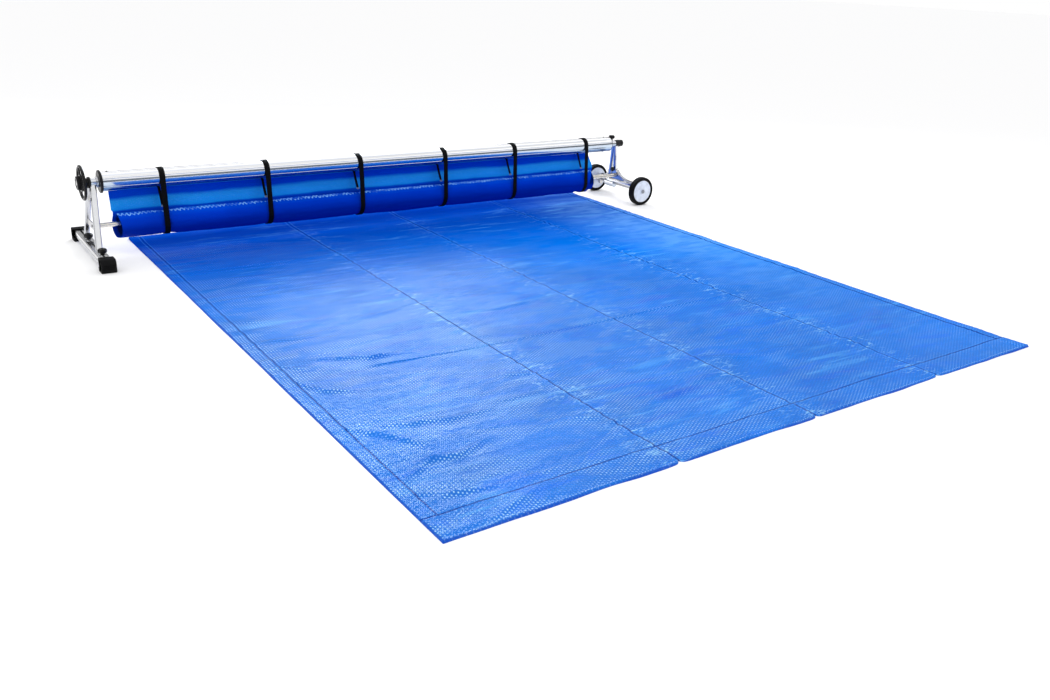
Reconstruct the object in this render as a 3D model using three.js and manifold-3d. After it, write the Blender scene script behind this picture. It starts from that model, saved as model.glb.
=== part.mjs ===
// Mobile pool cover reel: a long aluminium tube between two A-frame stands, one on
// rubber feet (left) and one on wheels (right). The cover is rolled and strapped below
// the tube, and a sheet of it lies on the floor.
// Millimetres, +Z up, +X from the handwheel end to the wheel end, -Y (front) to the pool.
// Origin: on the floor, about midway between the stands, straight below the tube's axis.
import * as THREE from "three";
import { mergeVertices } from "three/addons/utils/BufferGeometryUtils.js";
import Module from "manifold-3d";

const wasm = await Module();
wasm.setup();

// ---------- driving dimensions ----------
const RUN = 0.3;                // running and assembly gap
const AXIS_Z = 401;             // height of the reel's axis
const TUBE_R = 50.8;            // 4 inch tube
const TUBE_WALL = 2.2;
const TUBE_X0 = -1729.6;
const TUBE_X1 = 1696;
const SHAFT_R = 12;
const BORE = SHAFT_R + RUN;     // bore of everything that sits on the shafts
const BOLT_R = 4;
const KNOB_BORE_R = 4.4;
const CLAMP_HOLE_R = 4.6;
const BAR_HOLE_R = 4.5;
const HEX_HEAD_R = 7.5;         // across corners, halved

const FOOT_X = -1803;           // centre of the footed base beam
const BEAM_TOP = 64;
const BEAM_BOTTOM = 22;
const WHEEL_X = 1820;           // centre of the wheeled base beam
const WHEEL_R = 100;
const BAR_R = 13.5;             // spreader bar
const BAR_Z = 170;
const PLATE_HALF = 3;           // half the thickness of the web and gusset plates
const LEG_WALL = 2.6;

// ---------- materials ----------
const finish = (settings) => () => new THREE.MeshStandardMaterial(settings);
const tubeAlu = finish({ color: 0xd4d7dc, roughness: 0.28, metalness: 0.95 });
const legAlu = finish({ color: 0xdadde2, roughness: 0.3, metalness: 0.9 });
const chrome = finish({ color: 0xe4e6ea, roughness: 0.12, metalness: 1 });
const steel = finish({ color: 0xb9bcc0, roughness: 0.35, metalness: 0.95 });
const blackPlastic = finish({ color: 0x101113, roughness: 0.4, metalness: 0 });
const rubber = finish({ color: 0x0b0b0c, roughness: 0.75, metalness: 0 });
const whitePlastic = finish({ color: 0xe2e7f2, roughness: 0.4, metalness: 0 });
const greyPlastic = finish({ color: 0x8d949c, roughness: 0.4, metalness: 0.1 });
const coverFilm = finish({ color: 0x0c5fdc, roughness: 0.3, metalness: 0 });
const webbing = finish({ color: 0x08090a, roughness: 0.85, metalness: 0 });

// ---------- meshes and solids ----------
// Positions and index only: vertices welded, empty triangles dropped, faces outward.
function bare(geometry) {
  const loose = geometry.index ? geometry.toNonIndexed() : geometry.clone();
  loose.deleteAttribute("normal");
  loose.deleteAttribute("uv");
  const merged = mergeVertices(loose, 1e-4);
  const corners = merged.index.array;
  const corner = (i) => new THREE.Vector3().fromBufferAttribute(merged.attributes.position, i);
  const kept = [];
  let volume = 0;
  for (let i = 0; i < corners.length; i += 3) {
    const [first, second, third] = corners.slice(i, i + 3);
    if (first === second || second === third || first === third) continue;
    kept.push(first, second, third);
    volume += corner(first).dot(corner(second).cross(corner(third)));
  }
  if (volume < 0) {
    for (let i = 0; i < kept.length; i += 3) {
      [kept[i + 1], kept[i + 2]] = [kept[i + 2], kept[i + 1]];
    }
  }
  merged.setIndex(kept);
  return merged;
}

// Takes a geometry or a Manifold, and returns a Manifold.
function solid(shape) {
  if (!(shape instanceof THREE.BufferGeometry)) return shape;
  const geometry = bare(shape);
  return new wasm.Manifold(new wasm.Mesh({
    numProp: 3,
    vertProperties: new Float32Array(geometry.attributes.position.array),
    triVerts: new Uint32Array(geometry.index.array),
  }));
}

function geometryOf(manifold) {
  const mesh = manifold.getMesh();
  const geometry = new THREE.BufferGeometry();
  geometry.setAttribute("position", new THREE.BufferAttribute(mesh.vertProperties, 3));
  geometry.setIndex(Array.from(mesh.triVerts));
  return geometry;
}

const minus = (base, ...rest) => rest.reduce((sum, cut) => sum.subtract(solid(cut)), solid(base));
const plus = (base, ...rest) => rest.reduce((sum, part) => sum.add(solid(part)), solid(base));
const within = (base, ...rest) =>
  rest.reduce((sum, limit) => sum.intersect(solid(limit)), solid(base));

const group = new THREE.Group();
group.name = "pool_cover_reel";
const reel = new THREE.Group();
reel.name = "reel";
group.add(reel);

function add(name, shape, material, parent = group) {
  const geometry = bare(shape instanceof THREE.BufferGeometry ? shape : geometryOf(shape));
  geometry.computeVertexNormals();
  const mesh = new THREE.Mesh(geometry, material);
  mesh.name = name;
  parent.add(mesh);
}

// ---------- shape helpers ----------
function box(x0, x1, y0, y1, z0, z1) {
  return new THREE.BoxGeometry(x1 - x0, y1 - y0, z1 - z0)
    .translate((x0 + x1) / 2, (y0 + y1) / 2, (z0 + z1) / 2);
}

// Cylinders along each axis, from one end to the other.
function rodX(radius, x0, x1, y = 0, z = AXIS_Z, segments = 20) {
  return new THREE.CylinderGeometry(radius, radius, x1 - x0, segments)
    .rotateZ(-Math.PI / 2)
    .translate((x0 + x1) / 2, y, z);
}
function rodY(radius, y0, y1, x, z, segments) {
  return new THREE.CylinderGeometry(radius, radius, y1 - y0, segments)
    .translate(x, (y0 + y1) / 2, z);
}
function rodZ(radius, z0, z1, x, y, segments = 12) {
  return new THREE.CylinderGeometry(radius, radius, z1 - z0, segments)
    .rotateX(Math.PI / 2)
    .translate(x, y, (z0 + z1) / 2);
}

// Profiles of [radius, station], turned about Y or about a line along X.
// An open profile starts and ends on the axis; a ring's profile is closed here.
const vectors = (points) => points.map(([x, y]) => new THREE.Vector2(x, y));
const turnedY = (profile, segments) => new THREE.LatheGeometry(vectors(profile), segments);
const turnedX = (profile, segments, z = AXIS_Z) =>
  turnedY(profile, segments).rotateZ(-Math.PI / 2).translate(0, 0, z);
const closed = (profile) => [...profile, profile[0]];
const ringX = (profile, segments = 24, z) => turnedX(closed(profile), segments, z);
const sleeveX = (inner, outer, x0, x1) =>
  ringX([[inner, x0], [outer, x0], [outer, x1], [inner, x1]]);

function ringShape(outline, holes = []) {
  const shape = new THREE.Shape(vectors(outline));
  for (const hole of holes) shape.holes.push(new THREE.Path(vectors(hole).reverse()));
  return shape;
}
const extrude = (outline, depth, holes) =>
  new THREE.ExtrudeGeometry(ringShape(outline, holes), { depth, bevelEnabled: false, steps: 1 });

const AXIS = {
  x: new THREE.Vector3(1, 0, 0),
  y: new THREE.Vector3(0, 1, 0),
  z: new THREE.Vector3(0, 0, 1),
};
// Outline in (y, z), swept along X.
function sweepX(outline, x0, x1, holes) {
  const turn = new THREE.Matrix4().makeBasis(AXIS.y, AXIS.z, AXIS.x);
  return extrude(outline, x1 - x0, holes).applyMatrix4(turn).translate(x0, 0, 0);
}
// Outline in (x, z), swept along Y.
function sweepY(outline, y0, y1, holes) {
  const turn = new THREE.Matrix4().makeBasis(AXIS.x, AXIS.z, AXIS.y.clone().negate());
  return extrude(outline, y1 - y0, holes).applyMatrix4(turn).translate(0, y1, 0);
}

function roundRect(x, y, width, height, radius, steps = 3) {
  const points = [];
  [[1, 1], [-1, 1], [-1, -1], [1, -1]].forEach(([signX, signY], quarter) => {
    for (let i = 0; i <= steps; i++) {
      const angle = (quarter + i / steps) * Math.PI / 2;
      points.push([
        x + signX * (width / 2 - radius) + radius * Math.cos(angle),
        y + signY * (height / 2 - radius) + radius * Math.sin(angle),
      ]);
    }
  });
  return points;
}
const circle = (x, y, radius, segments) => Array.from({ length: segments }, (_, i) => {
  const angle = 2 * Math.PI * i / segments;
  return [x + radius * Math.cos(angle), y + radius * Math.sin(angle)];
});
// Arc in (y, z) about a centre at y = 0, both ends included.
const arc = (z, radius, start, sweep, steps) => Array.from({ length: steps + 1 }, (_, i) => {
  const angle = start + sweep * i / steps;
  return [radius * Math.cos(angle), z + radius * Math.sin(angle)];
});

// A leg's section, grown by a gap all round, swept from its upper to its lower end.
function legSweep({ from, to, width, depth, corner }, grow, holeGrows = []) {
  const start = new THREE.Vector3(...from);
  const along = new THREE.Vector3(...to).sub(start);
  const length = along.length();
  along.normalize();
  const across = AXIS.x.clone().addScaledVector(along, -along.x).normalize();
  const deep = new THREE.Vector3().crossVectors(along, across);
  const section = (extra) =>
    roundRect(0, 0, width + 2 * extra, depth + 2 * extra, corner + extra);
  return extrude(section(grow), length, holeGrows.map(section))
    .applyMatrix4(new THREE.Matrix4().makeBasis(across, deep, along))
    .translate(...from);
}
const legTube = (leg) => legSweep(leg, 0, [-LEG_WALL]);
const legRoom = (leg, gap) => legSweep(leg, gap);

// Six-lobed knob grip along +Z, with bevelled ends.
function grip(radius, lobeDepth, depth, bevel) {
  const outline = Array.from({ length: 24 }, (_, i) => {
    const angle = 2 * Math.PI * i / 24;
    const reach = radius - lobeDepth * (0.5 - 0.5 * Math.cos(6 * angle));
    return [reach * Math.cos(angle), reach * Math.sin(angle)];
  });
  return new THREE.ExtrudeGeometry(ringShape(outline), {
    depth,
    bevelEnabled: true,
    bevelThickness: bevel,
    bevelSize: bevel,
    bevelOffset: -bevel,
    bevelSegments: 1,
  });
}

// Hex-headed bolt along X.
const hexBolt = (head0, head1, shank0, shank1, y, z) => plus(
  sweepX(circle(y, z, HEX_HEAD_R, 6), head0, head1),
  rodX(BOLT_R, shank0, shank1, y, z, 12),
);

// ---------- reel: tube, end plugs and shafts ----------
const FLUTES = 8;
const FLUTE_DEPTH = 1;
const FLUTE_HALF = 3.2 / TUBE_R;   // half a flute's width, as an angle
const LEFT_SCREW_X = -1699;
const RIGHT_SCREW_X = 1650;
const SCREW_HOLE_R = 3.2;
const PLUG_R = 48;

// One flute and the wall beside it: [angle from the flute's middle, radius].
const flutePoints = [
  [-0.38, TUBE_R], [-0.2, TUBE_R],
  [-FLUTE_HALF, TUBE_R], [-FLUTE_HALF * 0.55, TUBE_R - FLUTE_DEPTH],
  [FLUTE_HALF * 0.55, TUBE_R - FLUTE_DEPTH], [FLUTE_HALF, TUBE_R],
  [0.2, TUBE_R],
];
const tubeOutline = Array.from({ length: FLUTES }, (_, i) => {
  const middle = 2 * Math.PI * (i + 0.5) / FLUTES;
  return flutePoints.map(([offset, radius]) =>
    [radius * Math.cos(middle + offset), AXIS_Z + radius * Math.sin(middle + offset)]);
}).flat();
const throughHole = (x) => rodZ(SCREW_HOLE_R, AXIS_Z - 70, AXIS_Z + 70, x, 0, 8);
add("reel_tube", minus(
  sweepX(tubeOutline, TUBE_X0, TUBE_X1, [circle(0, AXIS_Z, TUBE_R - TUBE_WALL, 28)]),
  throughHole(LEFT_SCREW_X),
  throughHole(RIGHT_SCREW_X),
), tubeAlu(), reel);

// End plugs: [radius, x].
const leftPlug = [
  [BORE, -1744.5], [58, -1744.5], [60, -1742.5], [60, -1731.5], [PLUG_R, -1730],
  [PLUG_R, -1666], [40, -1666], [40, -1718], [BORE, -1718],
];
const rightPlug = [
  [BORE, 1700.5], [BORE, 1686], [38, 1688], [38, 1636], [PLUG_R, 1636],
  [PLUG_R, TUBE_X1 + RUN], [TUBE_R, TUBE_X1 + RUN], [TUBE_R, 1699], [49.3, 1700.5],
];
const plug = (profile, screwX) => minus(
  ringX(profile, 28),
  rodZ(SCREW_HOLE_R, AXIS_Z - 70, AXIS_Z - 20, screwX, 0, 8),
  rodZ(SCREW_HOLE_R, AXIS_Z + 20, AXIS_Z + 70, screwX, 0, 8),
);
add("left_tube_flange", plug(leftPlug, LEFT_SCREW_X), blackPlastic(), reel);
add("right_tube_flange", plug(rightPlug, RIGHT_SCREW_X), blackPlastic(), reel);

const LEFT_COLLAR_R = 28;
add("left_axle_shaft", rodX(SHAFT_R, -1842, -1690), steel(), reel);
add("right_axle_shaft", rodX(SHAFT_R, 1672, 1820), steel(), reel);
add("left_collar", sleeveX(BORE, LEFT_COLLAR_R, -1757, -1745), chrome(), reel);
add("right_collar", sleeveX(BORE, 24, 1701, 1711.5), chrome(), reel);

// Cup over the right shaft's end: [radius, x].
const endCap = [
  [0, 1821], [BORE, 1821], [BORE, 1791], [25.4, 1791], [25.4, 1820], [20, 1826.5], [0, 1826.5],
];
add("right_end_cap", turnedX(endCap, 24), blackPlastic(), reel);

// Screws that pin the tube to its end plugs. Head: [radius, height above its seat].
const screwHead = [[0, 0], [6, 0], [6, 1.6], [4.4, 3], [0, 3]];
function tubeScrew(x, side) {
  const seat = AXIS_Z + side * (TUBE_R + 0.35);
  const head = turnedY(screwHead, 12).rotateX(side * Math.PI / 2).translate(x, 0, seat);
  const ends = [AXIS_Z + side * 42, seat + side];
  return plus(head, rodZ(2.5, Math.min(...ends), Math.max(...ends), x, 0, 8));
}
for (const [label, x] of [["left", LEFT_SCREW_X], ["right", RIGHT_SCREW_X]]) {
  add(`${label}_tube_screw_top`, tubeScrew(x, 1), blackPlastic(), reel);
  add(`${label}_tube_screw_bottom`, tubeScrew(x, -1), blackPlastic(), reel);
}

// ---------- handwheel ----------
const HANDWHEEL_X = -1824;      // middle plane of the rim
const RIM_HALF = 8;
const HUB_R = 36;
const HUB_X0 = -1851;
const HUB_X1 = -1806;

// Hub with a narrower boss toward the stand and a counterbore at its outer end.
add("handwheel_hub", minus(
  plus(
    ringX([[BORE, HUB_X0], [HUB_R - 2, HUB_X0], [HUB_R, HUB_X0 + 2], [HUB_R, HUB_X1],
      [BORE, HUB_X1]]),
    sleeveX(BORE, 22, HUB_X1 - 1, -1797.6),
  ),
  rodX(19, -1855, -1839),
), blackPlastic(), reel);

const rim = new THREE.TorusGeometry(84.5, RIM_HALF, 6, 30)
  .rotateY(Math.PI / 2)
  .translate(HANDWHEEL_X, 0, AXIS_Z);
const spokes = [0, 1, 2].map((i) => new THREE.BoxGeometry(11, 15, 45)
  .translate(0, 0, 60.5)
  .rotateX(2 * Math.PI * i / 3 + 0.5)
  .translate(HANDWHEEL_X, 0, AXIS_Z));
add("handwheel_rim", plus(rim, ...spokes,
  sleeveX(HUB_R + 0.4, 44, HANDWHEEL_X - RIM_HALF, HANDWHEEL_X + RIM_HALF),
), blackPlastic(), reel);
// Hex nut in the hub's counterbore, just beyond the shaft's end.
add("handwheel_nut", sweepX(circle(0, AXIS_Z, 15, 6), -1850, -1842.4), steel(), reel);

// ---------- footed stand: beam and feet ----------
const BEAM_Y0 = -312;
const BEAM_Y1 = 414;
const FOOT_LENGTH = 75;
const FOOT_TOP = 71;
const FOOT_HALF = 37;

// Beam section with a T-slot along its top: [x from the beam's centre, z].
const beamSection = [
  [-28, BEAM_BOTTOM + 5], [-26.5, BEAM_BOTTOM + 1.5], [-23, BEAM_BOTTOM],
  [23, BEAM_BOTTOM], [26.5, BEAM_BOTTOM + 1.5], [28, BEAM_BOTTOM + 5],
  [28, BEAM_TOP - 6], [26.5, BEAM_TOP - 1.8], [22, BEAM_TOP],
  [6, BEAM_TOP], [6, BEAM_TOP - 5], [11.5, BEAM_TOP - 5], [11.5, BEAM_TOP - 15],
  [-11.5, BEAM_TOP - 15], [-11.5, BEAM_TOP - 5], [-6, BEAM_TOP - 5], [-6, BEAM_TOP],
  [-22, BEAM_TOP], [-26.5, BEAM_TOP - 1.8], [-28, BEAM_TOP - 6],
];
add("left_base_beam", sweepY(beamSection.map(([x, z]) => [FOOT_X + x, z]), BEAM_Y0, BEAM_Y1,
  [roundRect(FOOT_X, BEAM_BOTTOM + 12.5, 50, 19, 3, 2)]), legAlu());

// C-shaped foot, with a top band and a thicker pad: [distance beyond the beam's end, z].
const FOOT_TIP = 13;
const FOOT_BACK = FOOT_TIP - FOOT_LENGTH;
const footSection = [
  [FOOT_TIP - 8, 0], [FOOT_TIP - 2, 2], [FOOT_TIP, 8], [FOOT_TIP, FOOT_TOP - 17],
  [FOOT_TIP - 3, FOOT_TOP - 8], [FOOT_TIP - 9, FOOT_TOP - 2.5], [FOOT_TIP - 16, FOOT_TOP],
  [FOOT_BACK + 11, FOOT_TOP], [FOOT_BACK + 10, FOOT_TOP - 1], [FOOT_BACK + 10, BEAM_TOP + RUN],
  [RUN, BEAM_TOP + RUN], [RUN, BEAM_BOTTOM - RUN], [FOOT_BACK + 2, BEAM_BOTTOM - RUN],
  [FOOT_BACK, 19], [FOOT_BACK, 3], [FOOT_BACK + 3, 0],
];
for (const [label, beamEnd, side] of [["front", BEAM_Y0, -1], ["rear", BEAM_Y1, 1]]) {
  const outline = footSection.map(([beyond, z]) => [beamEnd + side * beyond, z]);
  add(`left_${label}_foot`, sweepX(outline, FOOT_X - FOOT_HALF, FOOT_X + FOOT_HALF), rubber());
}

// ---------- footed stand: legs and bearing ----------
const LEFT_FRONT_LEG = {
  from: [-1775, -9, 388], to: [-1809, -146, 44], width: 34, depth: 24, corner: 9,
};
const LEFT_REAR_LEG = {
  from: [-1791, 9, 386], to: [-1800, 212, 44], width: 28, depth: 24, corner: 8,
};
const FRONT_CLAMP_Y = -196;
const REAR_CLAMP_Y = 132;
const LEFT_SLEEVE_R = 23.2;
const LEFT_SLEEVE_X0 = -1783.6;
const LEFT_SLEEVE_X1 = -1757.4;
const BUSH_FLANGE_R = 29;
const BUSH_R = 15.2;
const SLEEVE_BORE = 15.6;

const aboveBeam = box(FOOT_X - 200, FOOT_X + 200, -600, 600, BEAM_TOP + RUN, 600);
const frontSide = box(-1900, -1700, -600, -RUN, 0, 600);
const rearSide = box(-1900, -1700, RUN, 600, 0, 600);
// Each leg ends in a flat tab that lies on the beam under its clamp knob.
const footTab = (y0, y1, holeY) => minus(
  box(FOOT_X - 16, FOOT_X + 16, y0, y1, BEAM_TOP + RUN, BEAM_TOP + 5),
  rodZ(CLAMP_HOLE_R, 40, 90, FOOT_X, holeY),
);
// The front leg is cut clear of the sleeve, the bush's flange and the collar.
add("left_front_leg", plus(
  minus(
    within(legTube(LEFT_FRONT_LEG), aboveBeam, frontSide),
    rodX(LEFT_SLEEVE_R + 0.4, -1840, -1740),
    rodX(BUSH_FLANGE_R + 0.6, -1840, LEFT_SLEEVE_X0),
    rodX(LEFT_COLLAR_R + 0.6, LEFT_SLEEVE_X1, -1730),
  ),
  footTab(-216, -138, FRONT_CLAMP_Y),
), legAlu());
// The rear leg is cut clear of the bush's flange and the handwheel hub.
add("left_rear_leg", plus(
  minus(
    within(legTube(LEFT_REAR_LEG), aboveBeam, rearSide),
    rodX(BUSH_FLANGE_R + 0.6, -1840, -1740),
    rodX(HUB_R + 0.9, -1860, HUB_X1 + 0.4),
  ),
  footTab(112, 196, REAR_CLAMP_Y),
), legAlu());

// Bearing: a chrome sleeve round a flanged plastic bush on the shaft.
add("left_bearing_sleeve",
  sleeveX(SLEEVE_BORE, LEFT_SLEEVE_R, LEFT_SLEEVE_X0, LEFT_SLEEVE_X1), chrome());
add("left_bearing_bush", ringX([
  [BORE, -1797.2], [BUSH_FLANGE_R, -1797.2], [BUSH_FLANGE_R, -1784], [BUSH_R, -1784],
  [BUSH_R, LEFT_SLEEVE_X1], [BORE, LEFT_SLEEVE_X1],
]), blackPlastic());

// ---------- footed stand: web plate and clamps ----------
// Plate between the two legs that carries the spreader bar: outline in (y, z).
const WEB_X = -1797;
add("left_web_plate", minus(
  sweepX([[-101, 152], [147, 152], [127, 188], [-88, 188]],
    WEB_X - PLATE_HALF, WEB_X + PLATE_HALF, [circle(0, BAR_Z, BAR_HOLE_R, 16)]),
  legRoom(LEFT_FRONT_LEG, RUN),
  legRoom(LEFT_REAR_LEG, RUN),
), steel());
add("left_bar_bolt",
  hexBolt(WEB_X - 8.5, WEB_X - PLATE_HALF - RUN, WEB_X - 7.5, WEB_X + 21, 0, BAR_Z), steel());

// Clamp knobs on T-bolts whose square heads sit in the beam's slot.
for (const [label, y] of [["front", FRONT_CLAMP_Y], ["rear", REAR_CLAMP_Y]]) {
  add(`left_${label}_clamp_bolt`, plus(
    box(FOOT_X - 9, FOOT_X + 9, y - 9, y + 9, BEAM_TOP - 12.5, BEAM_TOP - 6),
    rodZ(BOLT_R, BEAM_TOP - 7, 92, FOOT_X, y),
  ), steel());
  add(`left_${label}_clamp_knob`, minus(
    plus(grip(23, 3, 17, 3).translate(FOOT_X, y, 79), rodZ(11, BEAM_TOP + 5.5, 80, FOOT_X, y)),
    rodZ(KNOB_BORE_R, 60, 93, FOOT_X, y),
  ), blackPlastic());
}

// ---------- wheeled stand: beam and axle ----------
const RBEAM_BOTTOM = 109.4;
const RBEAM_TOP = 138;
const RBEAM_HEIGHT = RBEAM_TOP - RBEAM_BOTTOM;
const RBEAM_HALF = 228;         // half its length
const RBEAM_WALL = 2.5;
const AXLE_R = 8;
const AXLE_MID_R = 8.8;         // thicker part of the axle, under the beam
const AXLE_HALF = 283;

const rbeamSection = (inset) => roundRect(WHEEL_X, (RBEAM_BOTTOM + RBEAM_TOP) / 2,
  44 - 2 * inset, RBEAM_HEIGHT - 2 * inset, 12 - inset);
add("right_base_beam",
  sweepY(rbeamSection(0), -RBEAM_HALF, RBEAM_HALF, [rbeamSection(RBEAM_WALL)]), legAlu());
for (const [label, side] of [["front", -1], ["rear", 1]]) {
  const faces = [side * (RBEAM_HALF + RUN), side * (RBEAM_HALF + RUN + 4.5)];
  add(`right_${label}_axle_plate`, sweepY(roundRect(WHEEL_X, 110, 38, 54, 12),
    Math.min(...faces), Math.max(...faces),
    [circle(WHEEL_X, WHEEL_R, AXLE_R + RUN + 0.2, 16)]), legAlu());
}
add("wheel_axle", plus(
  rodY(AXLE_R, -AXLE_HALF, AXLE_HALF, WHEEL_X, WHEEL_R, 16),
  rodY(AXLE_MID_R, -RBEAM_HALF, RBEAM_HALF, WHEEL_X, WHEEL_R, 16),
), steel());

// Block under the beam, round at the bottom, with the axle running through it.
function saddle(width, bottom, y0, y1) {
  const shoulder = 97;          // height where the rounding starts
  const outline = [
    [WHEEL_X + width / 2, RBEAM_BOTTOM - RUN], [WHEEL_X - width / 2, RBEAM_BOTTOM - RUN],
  ];
  for (let i = 0; i <= 10; i++) {
    const angle = Math.PI + Math.PI * i / 10;
    outline.push([
      WHEEL_X + (width / 2) * Math.cos(angle),
      shoulder + (shoulder - bottom) * Math.sin(angle),
    ]);
  }
  return sweepY(outline, y0, y1, [circle(WHEEL_X, WHEEL_R, AXLE_MID_R + 0.25, 16)]);
}
add("right_saddle_clamp", within(
  saddle(44, 70, 31, 127),
  new THREE.SphereGeometry(1, 16, 10).scale(60, 62, 60).translate(WHEEL_X, 79, 112),
), chrome());
add("right_axle_bracket", saddle(30, 66, 186, 214), steel());

// ---------- wheeled stand: legs, gusset and braces ----------
const RIGHT_REAR_LEG = {
  from: [1765, 10, 388], to: [1811, 78, 130], width: 32, depth: 28, corner: 9,
};
const RIGHT_FRONT_LEG = {
  from: [1766, -8, 388], to: [1798, 10, 199], width: 30, depth: 26, corner: 9,
};
const KNOB_Y = 9;
const KNOB_Z = 213;
const RIGHT_SLEEVE_R = 23.4;
const RIGHT_BUSH_R = 25.4;
const RIGHT_BUSH_STEP_X = 1757;

// The leg's x at a given height.
const legX = ({ from, to }, z) => from[0] + (to[0] - from[0]) * (from[2] - z) / (from[2] - to[2]);
// Shears a shape drawn about x = 0 onto the outward lean of the rear leg.
function leaned(geometry) {
  const position = geometry.attributes.position;
  for (let i = 0; i < position.count; i++) {
    position.setX(i, position.getX(i) + legX(RIGHT_REAR_LEG, position.getZ(i)));
  }
  return geometry;
}

const bearingRoom = [
  rodX(24, 1700, 1850),
  rodX(RIGHT_BUSH_R + 0.5, RIGHT_BUSH_STEP_X - 0.4, 1850),
];
const rearLegRoom = legRoom(RIGHT_REAR_LEG, 0.4);
const knobHole = rodX(CLAMP_HOLE_R, 1740, 1840, KNOB_Y, KNOB_Z, 12);
add("right_rear_leg", minus(
  within(legTube(RIGHT_REAR_LEG), box(1700, 1900, RUN, 600, RBEAM_TOP + RUN, 600)),
  ...bearingRoom,
), legAlu());
add("right_front_leg", minus(
  within(legTube(RIGHT_FRONT_LEG), box(1700, 1900, -600, 600, 201, 600)),
  ...bearingRoom, rearLegRoom, knobHole,
), legAlu());

// Gusset plate between the legs, the front brace and the beam: outline in (y, z).
const gussetOutline = [
  [76, RBEAM_TOP + RUN], [66, 190], [30, 196], [17.5, 200], [17, 232], [2, 232],
  [2.5, 200], [-10, 186], [-36, 164], [-62, 152], [-84, RBEAM_TOP + RUN],
];
add("right_gusset_plate", minus(
  leaned(sweepX(gussetOutline, -PLATE_HALF, PLATE_HALF)),
  rearLegRoom, knobHole, rodX(CLAMP_HOLE_R, 1740, 1850, 0, BAR_Z, 12),
), legAlu());

// Curved brace: a strip bent along a path of (y, z) points, landing on the beam.
function brace(path, halfWidth) {
  const thickness = 11;
  const steps = 9;
  const knots = path.map(([y, z]) => new THREE.Vector3(0, y, z));
  const curve = new THREE.CatmullRomCurve3(knots, false, "centripetal");
  const face = (side) => Array.from({ length: steps + 1 }, (_, i) => {
    const point = curve.getPoint(i / steps);
    const tangent = curve.getTangent(i / steps);
    const offset = side * thickness / 2;
    return [point.y - tangent.z * offset, point.z + tangent.y * offset];
  });
  return leaned(sweepX([...face(1), ...face(-1).reverse()], -halfWidth, halfWidth));
}
// The gusset with clearance round it, carried down past the beam's top: (y, z).
const gussetRoomOutline = [
  [76, 100], [66, 190.4], [30, 196.4], [17.9, 200], [17.4, 232.4], [1.6, 232.4],
  [2.1, 200], [-10.4, 186.4], [-36.3, 164.4], [-62.3, 152.4], [-86, 100],
];
const gussetRoom = leaned(sweepX(gussetRoomOutline, -PLATE_HALF - 0.4, PLATE_HALF + 0.4));
const frontBracePath = [
  [-12, 207], [-20, 193], [-44, 173], [-90, 153], [-150, 145.2], [-220, 144.2],
];
const rearBracePath = [[76, 196], [84, 178], [104, 158], [140, 146], [174, 144.2]];
add("right_front_brace", minus(brace(frontBracePath, 12), gussetRoom), legAlu());
add("right_rear_brace", minus(brace(rearBracePath, 11), rearLegRoom), legAlu());

// ---------- wheeled stand: bearing, bolts and knobs ----------
const LOCK_X = 1728;
const lockHole = rodZ(4.5, AXIS_Z + 5, AXIS_Z + 40, LOCK_X, 0);
add("right_bearing_sleeve",
  minus(sleeveX(SLEEVE_BORE, RIGHT_SLEEVE_R, 1712, 1782.4), lockHole), chrome());
add("right_bearing_bush", minus(ringX([
  [BORE, 1712], [BUSH_R, 1712], [BUSH_R, 1782.8], [23.8, 1782.8], [23.8, RIGHT_BUSH_STEP_X],
  [RIGHT_BUSH_R, RIGHT_BUSH_STEP_X], [RIGHT_BUSH_R, 1790.4], [BORE, 1790.4],
]), lockHole), blackPlastic());

const GUSSET_X = legX(RIGHT_REAR_LEG, BAR_Z);   // gusset's middle at the spreader bar
add("right_bar_bolt",
  hexBolt(GUSSET_X + 5, GUSSET_X + 10.5, GUSSET_X - 24, GUSSET_X + 6, 0, BAR_Z), steel());

// Lock knob on top of the bearing, its stud reaching down through the sleeve and bush.
add("reel_lock_knob", plus(
  grip(20, 2.4, 17, 3).translate(LOCK_X, 0, AXIS_Z + 41),
  rodZ(9, AXIS_Z + 24.5, AXIS_Z + 43, LOCK_X, 0),
  rodZ(BOLT_R, AXIS_Z + 13.4, AXIS_Z + 26, LOCK_X, 0),
), blackPlastic());

// Bolt and knob that clamp the front leg to the gusset plate.
const KNOB_LEG_X = legX(RIGHT_FRONT_LEG, KNOB_Z);
add("right_clamp_bolt", hexBolt(KNOB_LEG_X + 17.5, KNOB_LEG_X + 22.5,
  KNOB_LEG_X - 32, KNOB_LEG_X + 18, KNOB_Y, KNOB_Z), steel());
add("right_clamp_knob", minus(
  plus(
    grip(16, 2.2, 12, 2.5).rotateY(Math.PI / 2).translate(KNOB_LEG_X - 36, KNOB_Y, KNOB_Z),
    rodX(8.5, KNOB_LEG_X - 24, KNOB_LEG_X - 17, KNOB_Y, KNOB_Z, 12),
  ),
  rodX(KNOB_BORE_R, KNOB_LEG_X - 33, KNOB_LEG_X, KNOB_Y, KNOB_Z, 12),
), blackPlastic());

// ---------- wheels ----------
const WHEEL_Y = 258;            // wheel centre from the reel's centre plane
const TYRE_HALF = 23;           // half the tyre's width
const DISC_R = 77.4;
const DISC_BORE = AXLE_R + 0.4;
const CAP_BORE = AXLE_R + RUN;

// Sections: [radius, y from the wheel's centre].
const tyreSection = [
  [DISC_R + 0.5, -19], [84, -TYRE_HALF], [93, -TYRE_HALF], [WHEEL_R, -TYRE_HALF + 9],
  [WHEEL_R, TYRE_HALF - 9], [93, TYRE_HALF], [84, TYRE_HALF], [DISC_R + 0.5, 19],
];
const discSection = [
  [DISC_BORE, -22.5], [19, -22.5], [20, -17], [70, -16], [DISC_R, -18.5],
  [DISC_R, 18.5], [70, 16], [20, 17], [19, 22.5], [DISC_BORE, 22.5],
];
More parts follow.
